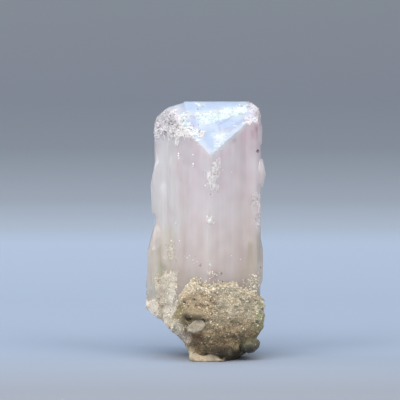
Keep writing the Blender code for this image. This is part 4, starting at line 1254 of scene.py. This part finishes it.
# %% [markdown]
# ## Sugar on the crystal
# The crust has no sharp upper border: single grains climb the crystal above it, most of all at the left
# and in a trail up the right flank. Their chance falls with the distance from the crust. Two patches of
# their own lie at the left flank and on the trail.

# %% Rim grains
CLIMB = 2.0
RIM_TOP = 24.0
FAR_ENOUGH = 4.0
RAY_LIFT = 0.05
RAY_LENGTH = 8.0
SUGAR_TRAILS = {
    "left": (0.25, [(-12.0, 19.6), (-9.7, 20.3), (-7.2, 20.6), (-6.6, 11.0), (-9.0, 8.0), (-11.5, 13.0)]),
    "right": (
        0.7, [(9.4, 19.8), (11.7, 20.3), (11.9, 17.7), (11.9, 13.0), (9.9, 13.0), (9.9, 16.3), (9.2, 17.2)]
    ),
    "front": (0.25, [(0.4, 20.9), (2.8, 21.3), (3.4, 18.0), (0.2, 18.0)]),
    "flank": (0.12, [(-9.6, 27.2), (-7.2, 27.2), (-7.1, 23.0), (-9.4, 23.4)]),
}
at = points_of(crystal)
# Places on the crystal that the crust covers are no use for grains, so they count as out of reach.
crust_tree = BVHTree.FromObject(crust, bpy.context.evaluated_depsgraph_get())
reach = np.full(len(at), np.inf)
for i in np.flatnonzero(at[:, 2] < RIM_TOP):
    distance = crust_tree.find_nearest(at[i] * MM, FAR_ENOUGH * MM)[3]
    if distance is not None:
        reach[i] = distance / MM
way = normals_of(crystal)
for i in np.flatnonzero(reach < CLIMB):
    if crust_tree.ray_cast((at[i] + way[i] * RAY_LIFT) * MM, way[i], RAY_LENGTH * MM)[0] is not None:
        reach[i] = np.inf
climb = ramp(-reach, -CLIMB, -0.1) ** 2 * (0.55 + 0.45 * medium) * 0.9
for share, outline in SUGAR_TRAILS.values():
    climb = np.maximum(climb, on_front(at, outline, 0.5, 0.5 * medium) * share)
spots, ways, beside = skin_spots(crystal, 90000, 41, np.clip(climb, 0, 1) * 0.5)
rim_tints = pale_tints(len(spots), 42, "#bfb39c", "#f2ebdc")
rim = strew("rim_grains", CHIP, spots, ways, (0.18, 0.46), rim_tints, 43, 0.08)
finish_piece(rim, sugar_finish)

# %% [markdown]
# Where crust and crystal meet, a last row of grains hides the seam. Half of them sit on the crystal, close
# above the crust. The others sit on the crust's own inner lip. A slanting ray tells the lip, which is open
# to the air, from the wall deeper down.

# %% Joint grains
JOINT_WIDTH = 0.75
LIP_BOTTOM = 4.0
LIP_RISE = Vector((0.0, 0.0, 0.7))
LIP_LIFT = 0.3

lip = np.zeros(len(crust_at))
for i in np.flatnonzero(crust_at[:, 2] > LIP_BOTTOM):
    nearest, outwards, _, distance = crystal_tree.find_nearest(crust_at[i] * MM, JOINT_WIDTH * MM)
    if nearest is not None:
        slant = (outwards + LIP_RISE).normalized()
        start = Vector(crust_at[i] * MM) + slant * LIP_LIFT * MM
        lip[i] = crust_tree.ray_cast(start, slant, RAY_LENGTH * MM)[0] is None
joint_sides = ((crystal, 90000, 44, ramp(-reach, -JOINT_WIDTH, -0.5)), (crust, 20000, 47, lip))
for host, count, seed, chance in joint_sides:
    spots, ways, beside = skin_spots(host, count, seed, chance)
    joint_tints = pale_tints(len(spots), seed, "#ab9e84", "#e4dac6")
    fill = strew(host.name + "_joint_grains", CHIP, spots, ways, (0.3, 0.6), joint_tints, seed, 0.05)
    finish_piece(fill, sugar_finish)

# %% [markdown]
# ## Sparkles in the etched patches
# The etched mineral ends in tiny facets that flash white or show a dark gap. Small grains of the same
# clear mineral are set close together where the frost is thick, some painted grey or dark as painted
# shade in the gaps.

# %% Etched grains
# The frost's own white, and grey and dark as painted shade in the gaps
GRAIN_LIT_AND_SHADED = [linear(code) for code in ("#8f8580", "#e2dede", "#ffffff")]
DARK_SHARE = 0.05
GREY_SHARE = 0.3

sparkle, tree, shader, in_mm = new_material("clear_danburite_grains")
tint = node(tree, "Attribute", attribute_name="tint")
tree.links.new(tint, shader.inputs["Base Color"])
set_inputs(shader, {"Roughness": 0.15, "IOR": DANBURITE_IOR, "Transmission Weight": 0.25})

chance = relief**1.5 * 0.6 + frost * roof * 0.05
spots, ways, beside = skin_spots(crystal, 90000, 51, chance)
kind = np.random.RandomState(52).rand(len(spots), 1)
shades = np.where(kind < GREY_SHARE, GRAIN_LIT_AND_SHADED[1], GRAIN_LIT_AND_SHADED[2])
shades = np.where(kind < DARK_SHARE, GRAIN_LIT_AND_SHADED[0], shades)
etched = strew("etched_grains", CHIP, spots, ways, (0.14, 0.34), tints[beside] * shades, 53, 0.1, lean=0.8)
finish_piece(etched, sparkle)

# %% [markdown]
# ## Single specks
# Last come the single white chips and dark specks that catch the eye on the smooth front faces. Dark specks
# scattered over the etched left corner are painted shade in its pits. Each is placed by x and height, and a
# ray from the front finds the skin there.

# %% Specks
WHITE_SPECKS = [
    (-3.1, 48.0, 0.4), (-3.1, 45.9, 0.4), (-3.0, 45.4, 0.42), (-6.5, 48.1, 0.4), (-6.5, 47.6, 0.4),
    (-6.4, 47.0, 0.34), (-6.2, 27.9, 0.3), (-7.1, 32.0, 0.3), (-4.5, 24.1, 0.26), (-3.9, 24.6, 0.2),
    (-3.1, 23.7, 0.22), (-2.2, 23.4, 0.22), (-2.9, 22.9, 0.2), (-5.0, 24.4, 0.2), (0.7, 23.0, 0.42),
    (1.0, 22.7, 0.3), (5.7, 24.6, 0.26), (0.6, 33.2, 0.4), (0.9, 33.0, 0.3), (3.1, 17.9, 0.45),
    (1.8, 20.6, 0.4), (2.3, 20.4, 0.34), (11.2, 19.6, 0.45), (11.0, 17.0, 0.6), (10.1, 14.9, 0.5),
    (5.8, 44.0, 0.2), (-1.9, 50.4, 0.2), (7.9, 23.6, 0.26), (11.2, 36.6, 0.34), (11.6, 36.9, 0.3),
]
DARK_SPECKS_AND_PIT_SHADE = [
    (11.9, 48.8, 0.6), (11.6, 48.6, 0.4), (11.9, 48.3, 0.34), (3.5, 20.7, 0.38), (3.7, 18.8, 0.38),
    (4.2, 17.7, 0.26), (-2.6, 24.6, 0.22), (-1.5, 22.5, 0.28), (-1.3, 22.9, 0.22), (-3.4, 24.1, 0.2),
    (12.6, 21.4, 0.42), (-3.1, 18.9, 0.24), (-8.7, 56.0, 0.3), (-7.4, 55.8, 0.3), (-8.0, 54.8, 0.26),
    (-9.5, 55.2, 0.26), (-6.5, 54.0, 0.24), (-2.0, 58.3, 0.3), (-1.8, 54.9, 0.24), (3.3, 20.2, 0.2),
    (7.4, 23.3, 0.2), (12.8, 26.2, 0.24), (-9.9, 15.6, 0.36), (-5.2, 53.2, 0.24),
]

# Painted shade: dark specks at random around the etched corner stand for its shaded pits
CORNER_PIT_SHADE = 24
RAY_FROM = -40.0

draw = np.random.RandomState(63)
corner_x = draw.normal(-8.6, 1.5, CORNER_PIT_SHADE)
corner_z = draw.normal(55.0, 0.9, CORNER_PIT_SHADE)
corner = np.column_stack((corner_x, corner_z, draw.uniform(0.16, 0.3, CORNER_PIT_SHADE)))
for name, specks, code, seed in (
    ("white_chips", WHITE_SPECKS, "#ffffff", 61),
    ("dark_specks_and_pit_shade", DARK_SPECKS_AND_PIT_SHADE + corner.tolist(), "#4a3c36", 62),
):
    hits = [crystal_tree.ray_cast(Vector((x, RAY_FROM, z)) * MM, Vector((0, 1, 0))) for x, z, _ in specks]
    found = [(hit[0] / MM, hit[1], speck[2]) for hit, speck in zip(hits, specks) if hit[0]]
    spots, ways, sizes = (np.array(column) for column in zip(*found))
    chips = strew(name, CHIP, spots, ways, (1.0, 1.0), np.tile(linear(code), (len(spots), 1)), seed, 0.2)
    shrink = np.repeat(sizes, len(CHIP[0]))[:, None]
    centre = np.repeat(spots, len(CHIP[0]), axis=0)
    put_points(chips, centre + (points_of(chips) - centre) * shrink)
    finish_piece(chips, sugar_finish)
